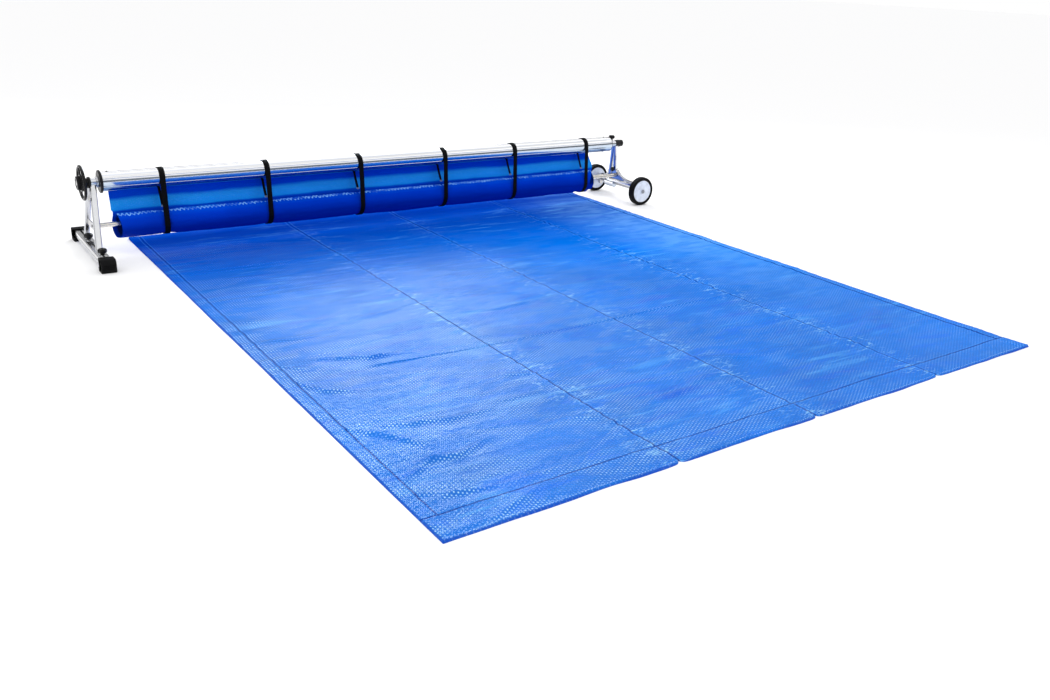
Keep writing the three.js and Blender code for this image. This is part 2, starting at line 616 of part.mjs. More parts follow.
// Cap over the axle's end: [radius, distance from the reel's centre plane].
const capSection = [
  [0, AXLE_HALF + 0.4], [CAP_BORE, AXLE_HALF + 0.4], [CAP_BORE, WHEEL_Y + 23.1],
  [14, WHEEL_Y + 23.1], [14, 285.5], [11, 288], [0, 288.8],
];
for (const [label, side] of [["front", -1], ["rear", 1]]) {
  const wheel = new THREE.Group();
  wheel.name = `${label}_wheel`;
  wheel.position.set(WHEEL_X, side * WHEEL_Y, WHEEL_R);
  group.add(wheel);
  add(`${label}_wheel_tyre`, turnedY(closed(tyreSection), 28), rubber(), wheel);
  add(`${label}_wheel_disc`, turnedY(closed(discSection), 28), whitePlastic(), wheel);
  const cap = turnedY(capSection.map(([radius, y]) => [radius, side * y]), 16);
  add(`${label}_wheel_cap`, cap.translate(WHEEL_X, 0, WHEEL_R), greyPlastic());
}

// ---------- spreader bar: a tube with a solid, bored plug at each end ----------
const BAR_X0 = WEB_X + PLATE_HALF + RUN;
const BAR_X1 = GUSSET_X - 6;
const BAR_BORE = BAR_R - 1.6;
const BAR_PLUG = 28;
add("spreader_bar", ringX([
  [BAR_HOLE_R, BAR_X0], [BAR_R, BAR_X0], [BAR_R, BAR_X1], [BAR_HOLE_R, BAR_X1],
  [BAR_HOLE_R, BAR_X1 - BAR_PLUG], [BAR_BORE, BAR_X1 - BAR_PLUG],
  [BAR_BORE, BAR_X0 + BAR_PLUG], [BAR_HOLE_R, BAR_X0 + BAR_PLUG],
], 20, BAR_Z), steel());

// ---------- cover and straps ----------
const ROLL_Z = 158;
const ROLL_R = 75;
const STRAP_W = 30;
const STRAP_T = 2;
const STRAP_X = [-1432, -853, -275, 311, 850, 1460];
const STRAP_TOP_R = 53.4;       // inside of the strap round the tube
const STRAP_LOW_R = 76.2;       // inside of the strap round the roll

// The hanging sheet lies inside the rear common tangent of the strap's two arcs.
const lean = Math.asin((STRAP_LOW_R - STRAP_TOP_R) / (AXIS_Z - ROLL_Z));
const hangPoint = (z, inset) =>
  [(STRAP_TOP_R - inset + Math.sin(lean) * (AXIS_Z - z)) / Math.cos(lean), z];
const HANG_OUTER = 0.9;         // insets of the sheet's faces from the strap
const HANG_INNER = 2.9;
const rollStart = Math.acos(hangPoint(186, HANG_INNER)[0] / ROLL_R);
const rollSweep = 2 * Math.PI + lean + 0.02 - rollStart;
add("cover_roll", sweepX([
  hangPoint(380, HANG_OUTER), hangPoint(380, HANG_INNER), hangPoint(260, HANG_INNER),
  ...arc(ROLL_Z, ROLL_R, rollStart, rollSweep, 30),
], -1698, 1600, [circle(0, BAR_Z, BAR_R + 0.8, 20)]), coverFilm());

// The part of the cover laid on the floor.
add("cover_sheet", box(-1571, 1593, -3272, 290, 0, 5), coverFilm());

// Webbing straps round the tube and the roll.
const strapLoop = (grow) => [
  ...arc(AXIS_Z, STRAP_TOP_R + grow, lean, Math.PI - 2 * lean, 9),
  ...arc(ROLL_Z, STRAP_LOW_R + grow, Math.PI - lean, Math.PI + 2 * lean, 12),
];
STRAP_X.forEach((x, i) => {
  const strap = sweepX(strapLoop(STRAP_T), x - STRAP_W / 2, x + STRAP_W / 2, [strapLoop(0)]);
  add(`strap_${i + 1}`, strap, webbing());
});

export default group;
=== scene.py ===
# Pool cover reel: a fluted tube between a footed stand (left, -X) and a wheeled stand (right, +X).
# Blue bubble film hangs from the tube, is rolled up under it on straps, and lies on the floor
# in front (-Y). Z is up and the floor is z = 0. The tube runs along X over y = 0.
# Meshes are worked out in millimetres; materials, lights and camera are in metres.
import math
import bmesh
import bpy
import numpy as np
from mathutils import Matrix, Vector


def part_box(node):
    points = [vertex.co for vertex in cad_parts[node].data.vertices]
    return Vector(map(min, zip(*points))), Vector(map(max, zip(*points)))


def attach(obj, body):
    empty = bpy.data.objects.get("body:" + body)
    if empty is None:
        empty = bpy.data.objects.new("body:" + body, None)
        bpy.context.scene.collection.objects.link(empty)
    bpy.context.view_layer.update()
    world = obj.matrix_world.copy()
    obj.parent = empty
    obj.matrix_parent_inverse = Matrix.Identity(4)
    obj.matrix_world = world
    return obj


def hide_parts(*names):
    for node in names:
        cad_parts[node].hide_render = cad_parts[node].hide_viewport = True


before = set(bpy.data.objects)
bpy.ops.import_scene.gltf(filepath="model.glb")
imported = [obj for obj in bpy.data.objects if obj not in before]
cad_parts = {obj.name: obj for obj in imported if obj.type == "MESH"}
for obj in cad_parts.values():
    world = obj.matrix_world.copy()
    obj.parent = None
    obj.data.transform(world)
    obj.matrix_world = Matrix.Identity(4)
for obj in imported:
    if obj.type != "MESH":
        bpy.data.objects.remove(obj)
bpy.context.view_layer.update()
MM = 0.001
scene = bpy.context.scene

SEAMS = [-640.0, 70.0, 865.0]    # x of the welded seams of the floor sheet
AXLE_R = 12
BORE_R = AXLE_R + 0.3            # bore of the parts that sit on an axle shaft
TUBE_GAP = 0.35                  # clearance round the tube
FILM = 2.2                       # film thickness


# ------------------------------------------------------------------ noise
def lattice_hash(ix, iy, seed):
    with np.errstate(over="ignore"):
        h = (ix.astype(np.int64) * 374761393 + iy.astype(np.int64) * 668265263
             + seed * 974634777) & 0xFFFFFFFF
        h = ((h ^ (h >> 13)) * 1274126177) & 0xFFFFFFFF
        h = ((h ^ (h >> 16)) * 2246822519) & 0xFFFFFFFF
    return (h & 0xFFFFFF) / float(0xFFFFFF)


def quintic(t):
    return t * t * t * (t * (t * 6 - 15) + 10)


def vnoise(x, y, seed=0):
    """Value noise from 0 to 1 on a unit lattice."""
    x, y = np.broadcast_arrays(np.asarray(x, float), np.asarray(y, float))
    ix, iy = np.floor(x), np.floor(y)
    across, along = quintic(x - ix), quintic(y - iy)
    near = (lattice_hash(ix, iy, seed) * (1 - across)
            + lattice_hash(ix + 1, iy, seed) * across)
    far = (lattice_hash(ix, iy + 1, seed) * (1 - across)
           + lattice_hash(ix + 1, iy + 1, seed) * across)
    return near * (1 - along) + far * along


def fbm(x, y, seed, octaves):
    """Octaves of value noise, each half as strong as the one before."""
    total, amp, norm = 0, 1, 0
    for k in range(octaves):
        total = total + amp * vnoise(np.asarray(x) * 2 ** k, np.asarray(y) * 2 ** k, seed + 17 * k)
        norm += amp
        amp *= 0.5
    return total / norm


def sstep(start, end, x):
    t = np.clip((np.asarray(x, float) - start) / (end - start), 0, 1)
    return t * t * (3 - 2 * t)


def bell(distance, width, power=2):
    """1 at distance 0, falling away over the width."""
    return np.exp(-(distance / width) ** power)


def ridged(noise, sharp):
    return np.clip(1 - np.abs(2 * noise - 1), 0, 1) ** sharp


# ------------------------------------------------------------------ shader helpers
class Nodes:
    """Short calls that add nodes to a shader tree. Values may be numbers, tuples or sockets."""

    def __init__(self, tree):
        self.tree = tree
        tree.nodes.clear()

    def node(self, kind):
        return self.tree.nodes.new("ShaderNode" + kind)

    def feed(self, socket, value):
        if isinstance(value, (int, float, tuple)):
            socket.default_value = value
        else:
            self.tree.links.new(value, socket)

    def math(self, operation, *values):
        n = self.node("Math")
        n.operation = operation
        for socket, value in zip(n.inputs, (*values, 0.0, 0.0)):
            self.feed(socket, value)
        return n.outputs[0]

    def add(self, a, b):
        return self.math("ADD", a, b)

    def mul(self, a, b):
        return self.math("MULTIPLY", a, b)

    def away(self, value, at):
        """Distance of a value from a place."""
        return self.math("ABSOLUTE", self.math("SUBTRACT", value, at))

    def remap(self, value, span, to=(0, 1)):
        n = self.node("MapRange")
        self.feed(n.inputs["Value"], value)
        for key, limit in zip(("From Min", "From Max", "To Min", "To Max"), (*span, *to)):
            n.inputs[key].default_value = limit
        return n.outputs["Result"]

    def mix(self, factor, a, b, mode="MIX"):
        n = self.node("Mix")
        n.data_type = "RGBA"
        n.blend_type = mode
        self.feed(n.inputs[0], factor)
        for socket, value in ((n.inputs[6], a), (n.inputs[7], b)):
            self.feed(socket, (*value, 1) if isinstance(value, tuple) else value)
        return n.outputs[2]

    def ramp(self, factor, stops):
        """Colour ramp through (position, (r, g, b)) stops."""
        n = self.node("ValToRGB")
        self.feed(n.inputs["Fac"], factor)
        elements = n.color_ramp.elements
        while len(elements) < len(stops):
            elements.new(0.5)
        for element, (position, color) in zip(elements, stops):
            element.position = position
            element.color = (*color, 1)
        return n.outputs["Color"]

    def xyz(self, vector):
        n = self.node("SeparateXYZ")
        self.feed(n.inputs[0], vector)
        return n.outputs


class Mat(Nodes):
    """A Principled material. Its noises run in the part's own metres."""

    def __init__(self, name, color, rough, metal=0.0, spec=0.5, coat=0.0, coat_rough=0.1):
        self.material = bpy.data.materials.new(name)
        self.material.use_nodes = True
        self.material.diffuse_color = (*color, 1)
        super().__init__(self.material.node_tree)
        out = self.node("OutputMaterial")
        self.bsdf = self.node("BsdfPrincipled")
        self.feed(out.inputs["Surface"], self.bsdf.outputs["BSDF"])
        self.set("Base Color", (*color, 1))
        self.set("Roughness", rough)
        self.set("Metallic", metal)
        self.set("Specular IOR Level", spec)
        self.set("Coat Weight", coat)
        self.set("Coat Roughness", coat_rough)
        self.place = self.node("TexCoord").outputs["Object"]

    def set(self, name, value):
        self.feed(self.bsdf.inputs[name], value)

    def noise(self, scale, detail=2, rough=0.5, distort=0.0):
        """Noise with its own scale per axis, in cells per metre. One number serves all three."""
        mapping = self.node("Mapping")
        self.feed(mapping.inputs["Vector"], self.place)
        mapping.inputs["Scale"].default_value = scale if isinstance(scale, tuple) else (scale,) * 3
        n = self.node("TexNoise")
        self.feed(n.inputs["Vector"], mapping.outputs[0])
        n.inputs["Scale"].default_value = 1.0
        n.inputs["Detail"].default_value = detail
        n.inputs["Roughness"].default_value = rough
        n.inputs["Distortion"].default_value = distort
        return n.outputs["Fac"]

    def bump(self, height, strength, dist, after=None):
        n = self.node("Bump")
        n.inputs["Strength"].default_value = strength
        n.inputs["Distance"].default_value = dist
        self.feed(n.inputs["Height"], height)
        if after is not None:
            self.feed(n.inputs["Normal"], after)
        return n.outputs["Normal"]


def tinted(color, factor, lift=0.0):
    return tuple(min(1, c * factor + lift) for c in color)


# ------------------------------------------------------------------ metals
# painted reflection: the colours round metal would mirror, chosen by the way each face looks
PAINTED_REFLECTION_STOPS = [    # (position, colour), from faces that look down to faces that look up
    (0.0, (0.12, 0.22, 0.46)), (0.09, (0.22, 0.36, 0.60)), (0.16, (0.52, 0.62, 0.74)),
    (0.34, (0.66, 0.73, 0.82)), (0.385, (0.22, 0.26, 0.33)), (0.425, (0.62, 0.64, 0.68)),
    (0.47, (1, 1, 1)), (0.62, (1, 1, 1)), (0.655, (0.74, 0.76, 0.81)),
    (0.72, (0.84, 0.86, 0.90)), (0.76, (1, 1, 1)), (0.93, (1, 1, 1)), (1.0, (0.62, 0.66, 0.74))]
GRAIN = {    # drawing direction: noise scale of the fine lines, of the scuffs
    "x": ((3, 900, 900), (25, 260, 260)),
    "y": ((900, 3, 900), (260, 25, 260)),
    "z": ((500, 500, 6), (160, 160, 40))}


def painted_reflection_bands(m):
    """Painted reflection bands on round metal, by how far the normal points up and slightly to the
    rear.
    """
    normal = m.xyz(m.node("NewGeometry").outputs["Normal"])
    facing = m.add(m.mul(normal[1], 0.443), m.mul(normal[2], 0.8965))
    return m.ramp(m.remap(facing, (-1.0, 1.0)), PAINTED_REFLECTION_STOPS)


def toward_middle(m):
    """The X part of the normal, positive where it points to the middle of the reel."""
    geometry = m.node("NewGeometry")
    normal = m.xyz(geometry.outputs["Normal"])
    place = m.xyz(geometry.outputs["Position"])
    return m.mul(normal[0], m.math("SIGN", m.mul(place[0], -1.0)))


def aluminium(name, tint, rough, along, line, dark=0.86, painted_bands=False, leg=False):
    """Drawn aluminium: fine lines along the extrusion, scuffs and uneven anodising; optionally
    painted reflection bands, and on the legs painted shade and a painted reflection of the film.
    """
    m = Mat(name, tint, rough, metal=1.0)
    line_scale, scuff_scale = GRAIN[along]
    lines = m.noise(line_scale, detail=3, rough=0.6)
    cloud = m.noise(9, detail=3, rough=0.55)
    scuff = m.noise(scuff_scale, detail=4, rough=0.7)
    tone = m.mix(m.remap(cloud, (0.3, 0.75)), tinted(tint, dark), tint)
    # painted reflection: light and dark bands by the way each face looks
    if painted_bands:
        tone = m.mix(1.0, tone, painted_reflection_bands(m), "MULTIPLY")
    if leg:
        # painted shade and reflection: legs go grey on their outer edges, and the inner ones take a
        # painted reflection of the film's blue
        inward = toward_middle(m)
        tone = m.mix(m.remap(inward, (-0.9, -0.15), to=(0.45, 0.0)), tone, (0.30, 0.31, 0.34))
        tone = m.mix(m.remap(inward, (0.40, 0.62), to=(0.0, 0.9)), tone, (0.02, 0.12, 0.46))
    m.set("Base Color", tone)
    m.set("Roughness", m.add(m.remap(lines, (0.3, 0.7), to=(rough - 0.05, rough + 0.07)),
                             m.remap(scuff, (0.55, 0.8), to=(0, 0.14))))
    m.set("Normal", m.bump(lines, strength=line, dist=0.00012))
    return m.material


def chrome(name, tint, rough):
    m = Mat(name, tint, rough, metal=1.0)
    haze = m.noise(60, detail=4, rough=0.6)
    spin = m.noise((1400, 20, 20))
    plate = m.mix(m.remap(haze, (0.4, 0.7)), tint, tinted(tint, 0.9))
    # painted reflection bands, toned down
    painted_bands = m.mix(0.25, painted_reflection_bands(m), (0.4, 0.42, 0.46))
    m.set("Roughness", m.remap(haze, (0.35, 0.75), to=(rough, rough + 0.12)))
    m.set("Base Color", m.mix(1.0, plate, painted_bands, "MULTIPLY"))
    m.set("Normal", m.bump(spin, strength=0.08, dist=0.00005))
    return m.material


def steel(name, tint, rough, warm=0.0):
    m = Mat(name, tint, rough, metal=1.0)
    grain = m.noise((20, 420, 420), detail=4, rough=0.65)
    spangle = m.noise(70, distort=0.6)
    light = (tint[0] * (1.05 + warm), tint[1] * (1.03 + warm / 2), tint[2])
    m.set("Base Color", m.mix(m.remap(spangle, (0.35, 0.7)), tinted(tint, 0.82), light))
    m.set("Roughness", m.remap(grain, (0.3, 0.75), to=(rough - 0.07, rough + 0.12)))
    m.set("Normal", m.bump(grain, strength=0.2, dist=0.0001))
    return m.material


# ------------------------------------------------------------------ plastic, rubber, webbing
def plastic(name, tint, rough, grain, pitch=1600, worn=0.6):
    """Moulded plastic with a fine grain, flow marks and paler rubbed edges."""
    m = Mat(name, tint, rough, spec=0.2 if max(tint) < 0.05 else 0.5)
    fine = m.noise(pitch, rough=0.6)
    cloud = m.noise(22, detail=4, rough=0.6)
    edges = m.remap(m.node("NewGeometry").outputs["Pointiness"], (0.5, 0.58))
    wear = m.mul(edges, m.remap(cloud, (0.35, 0.65), to=(0.1, worn)))
    base = m.mix(m.remap(cloud, (0.3, 0.7)), tinted(tint, 0.8), tinted(tint, 1.15))
    m.set("Base Color", m.mix(wear, base, tinted(tint, 1.5, lift=0.03)))
    m.set("Roughness", m.add(m.remap(fine, (0.3, 0.7), to=(rough - 0.05, rough + 0.08)),
                             m.mul(wear, 0.12)))
    m.set("Normal", m.bump(fine, strength=grain, dist=0.00008))
    return m.material


def rubber(name, tint, rough):
    m = Mat(name, tint, rough, spec=0.07)
    fine = m.noise(900, detail=3, rough=0.7)
    dust = m.noise(30, detail=5, rough=0.65)
    m.set("Base Color", m.mix(m.remap(dust, (0.5, 0.85), to=(0, 0.6)), tint,
                              (0.018, 0.018, 0.019)))
    m.set("Roughness", m.remap(dust, (0.3, 0.75), to=(rough - 0.12, rough + 0.15)))
    m.set("Normal", m.bump(fine, strength=0.45, dist=0.00015))
    return m.material


def webbing(name, tint, pitch):
    m = Mat(name, tint, rough=0.7, spec=0.08)
    x, y, z = m.xyz(m.place)
    turns = 2 * math.pi / pitch
    rows = m.math("SINE", m.mul(x, turns))
    picks = m.math("SINE", m.mul(m.add(z, y), turns * 0.6))
    weave = m.mul(rows, picks)
    fuzz = m.noise(900, detail=3, rough=0.7)
    m.set("Base Color", m.mix(m.remap(weave, (-1, 1)), tinted(tint, 0.5), tinted(tint, 2.2)))
    m.set("Roughness", m.remap(fuzz, (0.3, 0.7), to=(0.55, 0.85)))
    m.set("Normal", m.bump(m.add(weave, m.mul(fuzz, 0.5)), strength=0.5, dist=0.0004))
    return m.material


# ------------------------------------------------------------------ bubble film
def film(name, tint, lattice_axis, rough, spec, pitch, bubble, deep, gaps, crinkle,
         lighting, marks_and_light):
    """Blue bubble film: a lattice of small domes under a glossy skin that creases.
    The lattice lies in X and one other axis. gaps darkens the film between the domes and deep
    its dark clouds. lighting(m, tone) paints light and shade into the base colour, and the
    function after it adds marks on it with more painted light and shade."""
    coat = 0.12
    m = Mat(name, tint, rough, spec=spec, coat=coat, coat_rough=0.07)
    axes = m.xyz(m.place)
    m.x, m.y, m.z = axes
    turns = 2 * math.pi / pitch
    waves = []
    for angle in (0.0, math.pi / 3, 2 * math.pi / 3):
        phase = m.add(m.mul(m.x, turns * math.cos(angle)),
                      m.mul(axes["XYZ".index(lattice_axis)], turns * math.sin(angle)))
        waves.append(m.math("COSINE", phase))
    m.dome = m.remap(m.add(m.add(waves[0], waves[1]), waves[2]), (-1.0, 2.6))
    wrinkles = m.noise(crinkle, detail=5, rough=0.62, distort=0.35)
    fine = m.noise((260, 420, 420), detail=3, rough=0.6)
    m.cloud = m.noise(2.2, detail=4, rough=0.55)
    m.soft = m.noise((7, 16, 16), detail=3)

    tone = m.mix(m.remap(m.cloud, (0.3, 0.72)), tinted(tint, deep), tinted(tint, 1.12))
    tone = lighting(m, tone)
    tone = m.mix(m.mul(m.remap(m.dome, (0, 1), to=(1, 0)), gaps), tone, tinted(tint, 0.4))
    m.set("Base Color", marks_and_light(m, tone))
    m.set("Roughness", m.add(m.remap(m.soft, (0.3, 0.7), to=(rough - 0.05, rough + 0.07)),
                             m.remap(fine, (0.4, 0.8), to=(0, 0.06))))
    # domes and gloss fade with distance, where the domes grow too small to see
    distance = m.node("CameraData").outputs["View Distance"]
    domes_seen = m.remap(distance, (2.8, 6.2), to=(1.0, 0.12))
    domes = m.bump(m.mul(m.dome, domes_seen), strength=bubble, dist=0.0028)
    surface = m.bump(wrinkles, strength=0.5, dist=0.005, after=domes)
    m.set("Normal", surface)
    m.set("Coat Normal", surface)
    m.set("Specular Tint", (0.55, 0.84, 1.0, 1))
    gloss = m.remap(distance, (3.0, 5.6), to=(1.0, 0.0))
    m.set("Specular IOR Level", m.mul(gloss, spec))
    m.set("Coat Weight", m.mul(gloss, coat))
    return m.material


def sheet_lighting(m, tone):
    """Painted shade: the floor sheet deepens toward the roll, with a painted reflection of the dark
    roll.
    """
    depth = m.add(m.y, m.mul(m.cloud, 0.25))
    return m.mix(m.remap(depth, (-1.03, -0.03)), tone, (0.0, 0.075, 0.66))


SHEET_EDGES = (-1.571, 1.593, -3.272)    # left x, right x and front y
SHEET_LINES = [    # (axis, place, half width) of the seams, the side hems and the front hem
    *(("x", at * MM, 0.0055) for at in SEAMS),
    ("x", -1.510, 0.0045), ("x", 1.535, 0.0055), ("y", -3.139, 0.005)]


def sheet_marks_and_light(m, tone):
    """Marks with painted light and shade: lit and shaded wrinkles, painted highlights on puckers and
    dome tips, painted shade in folds, a paler rear right, shade under the roll, a painted dark
    outline, seams and hems.
    """
    tip = m.math("POWER", m.dome, 3.0)
    near_seam = 0.0
    for at in SEAMS:
        near = m.remap(m.away(m.x, at * MM), (0.0, 0.15), to=(1.0, 0.0))
        near_seam = m.math("MAXIMUM", near, near_seam)
    # painted light and shade of wrinkles across the seams: lit crests beside shaded troughs
    streak = m.noise((2.1, 17, 17), detail=5, rough=0.62, distort=0.5)
    patchy = m.noise((1.3, 2.0, 2.0), detail=3, rough=0.6, distort=0.3)
    crest = m.mul(m.remap(streak, (0.56, 0.66)), m.remap(patchy, (0.42, 0.62), to=(0.15, 1.0)))
    trough = m.mul(m.remap(streak, (0.34, 0.44), to=(1.0, 0.0)),
                   m.remap(patchy, (0.40, 0.60), to=(0.3, 1.0)))
    tone = m.mix(m.mul(trough, 0.55), tone, (0.0, 0.085, 0.66))
    tone = m.mix(m.mul(crest, 0.36), tone, (0.12, 0.50, 1.0))
    # painted highlights on small puckers beside the seams
    pucker_highlight = m.noise((16, 46, 46), detail=4, rough=0.66, distort=1.2)
    pucker_highlight = m.mul(m.remap(pucker_highlight, (0.56, 0.66)), near_seam)
    tone = m.mix(m.mul(pucker_highlight, m.remap(m.y, (-1.6, -0.5), to=(0.75, 0.16))), tone,
                 (0.34, 0.72, 1.0))
    # painted highlights on the dome tips, strongest at the front left where the sheen falls
    left = m.remap(m.add(m.x, m.mul(m.y, -0.10)), (-1.5, 1.2), to=(1.0, 0.25))
    folds = m.noise((3.4, 9.0, 9.0), detail=4, rough=0.6, distort=0.8)
    lit = m.remap(folds, (0.43, 0.56), to=(0.10, 1.0))
    front = m.remap(m.y, (-1.9, -0.4), to=(1.0, 0.12))
    tone = m.mix(m.mul(m.mul(tip, lit), m.mul(m.mul(left, front), 0.95)), tone,
                 (0.52, 0.84, 1.0))
    # painted shade in the hollows of folds, strongest toward the front
    hollows = m.noise((2.6, 7.5, 7.5), detail=4, rough=0.6, distort=1.4)
    fold_shade = m.mul(m.remap(hollows, (0.58, 0.68), to=(0.0, 0.62)),
                      m.remap(m.y, (-2.2, -1.2), to=(1.0, 0.2)))
    tone = m.mix(fold_shade, tone, (0.0, 0.150, 0.80))
    # the rear right corner catches a paler light
    pale = m.mul(m.remap(m.x, (0.9, 1.35), to=(0.0, 0.42)),
                 m.remap(m.y, (-2.4, -1.2), to=(0.15, 1.0)))
    tone = m.mix(m.mul(pale, m.remap(m.soft, (0.35, 0.6), to=(0.5, 1.0))), tone,
                 (0.20, 0.50, 1.0))
    # shade where the roll hangs close over the film
    under = m.mul(m.remap(m.y, (0.00, 0.13), to=(0.0, 0.7)),
                  m.remap(m.y, (0.19, 0.27), to=(1.0, 0.15)))
    tone = m.mix(under, tone, (0.0, 0.030, 0.30))
    # painted shade: a dark outline round the left, right and front edges
    left_x, right_x, front_y = SHEET_EDGES
    rim = m.math("MINIMUM", m.math("SUBTRACT", m.x, left_x), m.math("SUBTRACT", m.y, front_y))
    rim = m.math("MINIMUM", rim, m.math("SUBTRACT", right_x, m.x))
    tone = m.mix(m.remap(rim, (0.004, 0.012), to=(0.85, 0.0)), tone, (0.0, 0.06, 0.50))
    for axis, at, half in SHEET_LINES:
        off = m.away(m.x if axis == "x" else m.y, at)
        # the side hems stop where the front hem crosses them
        side_hem = axis == "x" and abs(at) > 1.4
        runs = m.remap(m.y, (-3.142, -3.136)) if side_hem else 1.0
        # a dark line on each seam and hem, and a painted highlight along the lap beside it
        core = m.remap(off, (half * 0.5, half), to=(0.85, 0.0))
        tone = m.mix(m.mul(core, runs), tone, (0.0, 0.035, 0.30))
        lap_highlight = m.remap(m.away(off, half * 2.2), (0.0, half), to=(0.18, 0.0))
        tone = m.mix(m.mul(lap_highlight, runs), tone, (0.10, 0.42, 1.0))
    return tone


# painted light and shade by height: the upper hanging film shaded under the tube, a bright band just
# above the roll, the roll's front in shade and a little lighter at its foot
BAND_BASE, BAND_SPAN = 0.06, 0.40    # lowest z of the roll's colour bands and their z range
ROLL_PAINTED_LIGHT_BANDS = [    # (z, colour)
    (0.085, (0.0, 0.024, 0.38)), (0.140, (0.0, 0.016, 0.32)), (0.200, (0.0, 0.038, 0.54)),
    (0.228, (0.0, 0.080, 0.74)), (0.238, (0.012, 0.340, 1.0)), (0.284, (0.018, 0.370, 1.0)),
    (0.302, (0.0, 0.072, 0.74)), (0.440, (0.0, 0.052, 0.64))]


def roll_lighting(m, tone):
    """Painted light and shade: a painted bright band in the slack part above the roll and painted
    shade below it, with an even tone on the faces toward the rear.
    """
    wavy_z = m.add(m.z, m.mul(m.math("SUBTRACT", m.cloud, 0.5), 0.03))
    painted_bands = m.ramp(m.remap(wavy_z, (BAND_BASE, 0.46)),
                   [((z - BAND_BASE) / BAND_SPAN, color) for z, color in ROLL_PAINTED_LIGHT_BANDS])
    dark_bands = m.mix(1.0, painted_bands, (0.86, 0.86, 0.86), "MULTIPLY")
    tone = m.mix(m.remap(m.cloud, (0.3, 0.72)), dark_bands, painted_bands)
    rear = m.mix(m.remap(m.cloud, (0.3, 0.72)), (0.0, 0.060, 0.62), (0.0, 0.105, 0.80))
    normal_y = m.xyz(m.node("NewGeometry").outputs["Normal"])[1]
    return m.mix(m.remap(normal_y, (0.05, 0.40)), tone, rear)


def roll_marks_and_light(m, tone):
    """Painted shade on the inner turns, a painted zigzag highlight along the upper front and a
    speckled strip above it.
    """
    # painted shade inside the roll, on the inner turns seen at its open ends
    radius = m.math("SQRT", m.add(m.mul(m.y, m.y), m.math("POWER", m.away(m.z, 0.157), 2.0)))
    tone = m.mix(m.remap(radius, (0.054, 0.060), to=(0.9, 0.0)), tone, (0.0, 0.006, 0.06))
    # painted highlight: a bright zigzag along the welded seam on the roll's upper front
    drift = m.mul(m.math("SUBTRACT", m.noise((14, 0.01, 0.01)), 0.5), 0.010)
    teeth = m.math("PINGPONG", m.add(m.x, m.mul(m.noise(40), 0.02)), 0.011)
    off = m.add(m.math("SUBTRACT", m.z, 0.2185), m.add(drift, m.mul(teeth, -0.75)))
    weld_highlight = m.mul(m.remap(m.math("ABSOLUTE", off), (0.0014, 0.0034), to=(1.0, 0.0)),
                 m.remap(m.y, (-0.012, -0.004), to=(1.0, 0.0)))
    weld_highlight = m.mul(weld_highlight, m.remap(m.noise(26, detail=3), (0.36, 0.56), to=(0.1, 1.0)))
    tone = m.mix(m.mul(weld_highlight, 0.85), tone, (0.22, 0.55, 1.0))
    strip = m.mul(m.remap(m.z, (0.240, 0.250)), m.remap(m.z, (0.282, 0.294), to=(1.0, 0.0)))
    speckle = m.remap(m.noise((190, 190, 260)), (0.54, 0.68), to=(0.0, 0.45))
    return m.mix(m.mul(speckle, strip), tone, (0.08, 0.36, 1.0))


# look: (material, slot)
LOOKS = {
    "tube": (aluminium("tube_aluminium", (0.95, 0.955, 0.97), rough=0.13, along="x",
                       line=0.04, dark=0.97, painted_bands=True), "tube_aluminium"),
    "leg": (aluminium("leg_aluminium", (0.76, 0.77, 0.79), rough=0.17, along="z", line=0.25,
                      leg=True), "frame_aluminium"),
    "beam": (aluminium("beam_aluminium", (0.84, 0.845, 0.86), rough=0.17, along="y", line=0.1),
             "frame_aluminium"),
    "brace": (aluminium("brace_aluminium", (0.50, 0.51, 0.53), rough=0.14, along="y", line=0.1),
              "frame_aluminium"),
    "chrome": (chrome("chromed_steel", (0.9, 0.91, 0.93), rough=0.07), "chromed_steel"),
    "steel": (steel("bright_steel", (0.62, 0.62, 0.63), rough=0.3), "bright_steel"),
    "bar": (steel("zinc_bar", (0.78, 0.765, 0.73), rough=0.22, warm=0.06), "bright_steel"),
    "black": (plastic("black_plastic", (0.0045, 0.0045, 0.0055), rough=0.30, grain=0.3),
              "black_plastic"),
    "handwheel": (plastic("handwheel_plastic", (0.0045, 0.0045, 0.0055), rough=0.22, grain=0.2),
                  "black_plastic"),
    "foot": (rubber("foot_rubber", (0.005, 0.005, 0.0055), rough=0.6), "foot_rubber"),
    "tyre": (rubber("tyre_rubber", (0.0045, 0.0045, 0.005), rough=0.5), "tyre_rubber"),
    "white": (plastic("wheel_white", (0.66, 0.72, 0.84), rough=0.33, grain=0.25, pitch=1300,
                      worn=0.2), "wheel_white"),
    "grey": (plastic("cap_grey", (0.20, 0.22, 0.25), rough=0.33, grain=0.3), "cap_grey"),
    "sheet": (film("cover_film_floor", (0.000, 0.205, 0.890), "Y", rough=0.15, spec=0.20,
                   pitch=0.0120, bubble=1.0, deep=0.84, gaps=0.45, crinkle=(30, 75, 75),
                   lighting=sheet_lighting, marks_and_light=sheet_marks_and_light), "cover_blue"),
    "roll": (film("cover_film_roll", (0.000, 0.100, 0.800), "Z", rough=0.25, spec=0.14,
                  pitch=0.0105, bubble=0.22, deep=0.75, gaps=0.12, crinkle=(38, 95, 95),
                  lighting=roll_lighting, marks_and_light=roll_marks_and_light), "cover_blue"),
    "web": (webbing("strap_webbing", (0.0016, 0.0016, 0.0020), pitch=0.0022), "strap_webbing"),
    "clip": (plastic("strap_clip", (0.13, 0.20, 0.34), rough=0.3, grain=0.2, pitch=1500,
                     worn=0.3), "strap_webbing"),
    "thread": (plastic("hem_thread", (0.30, 0.52, 0.95), rough=0.45, grain=0.5, pitch=2500,
                       worn=0.2), "cover_blue"),
}


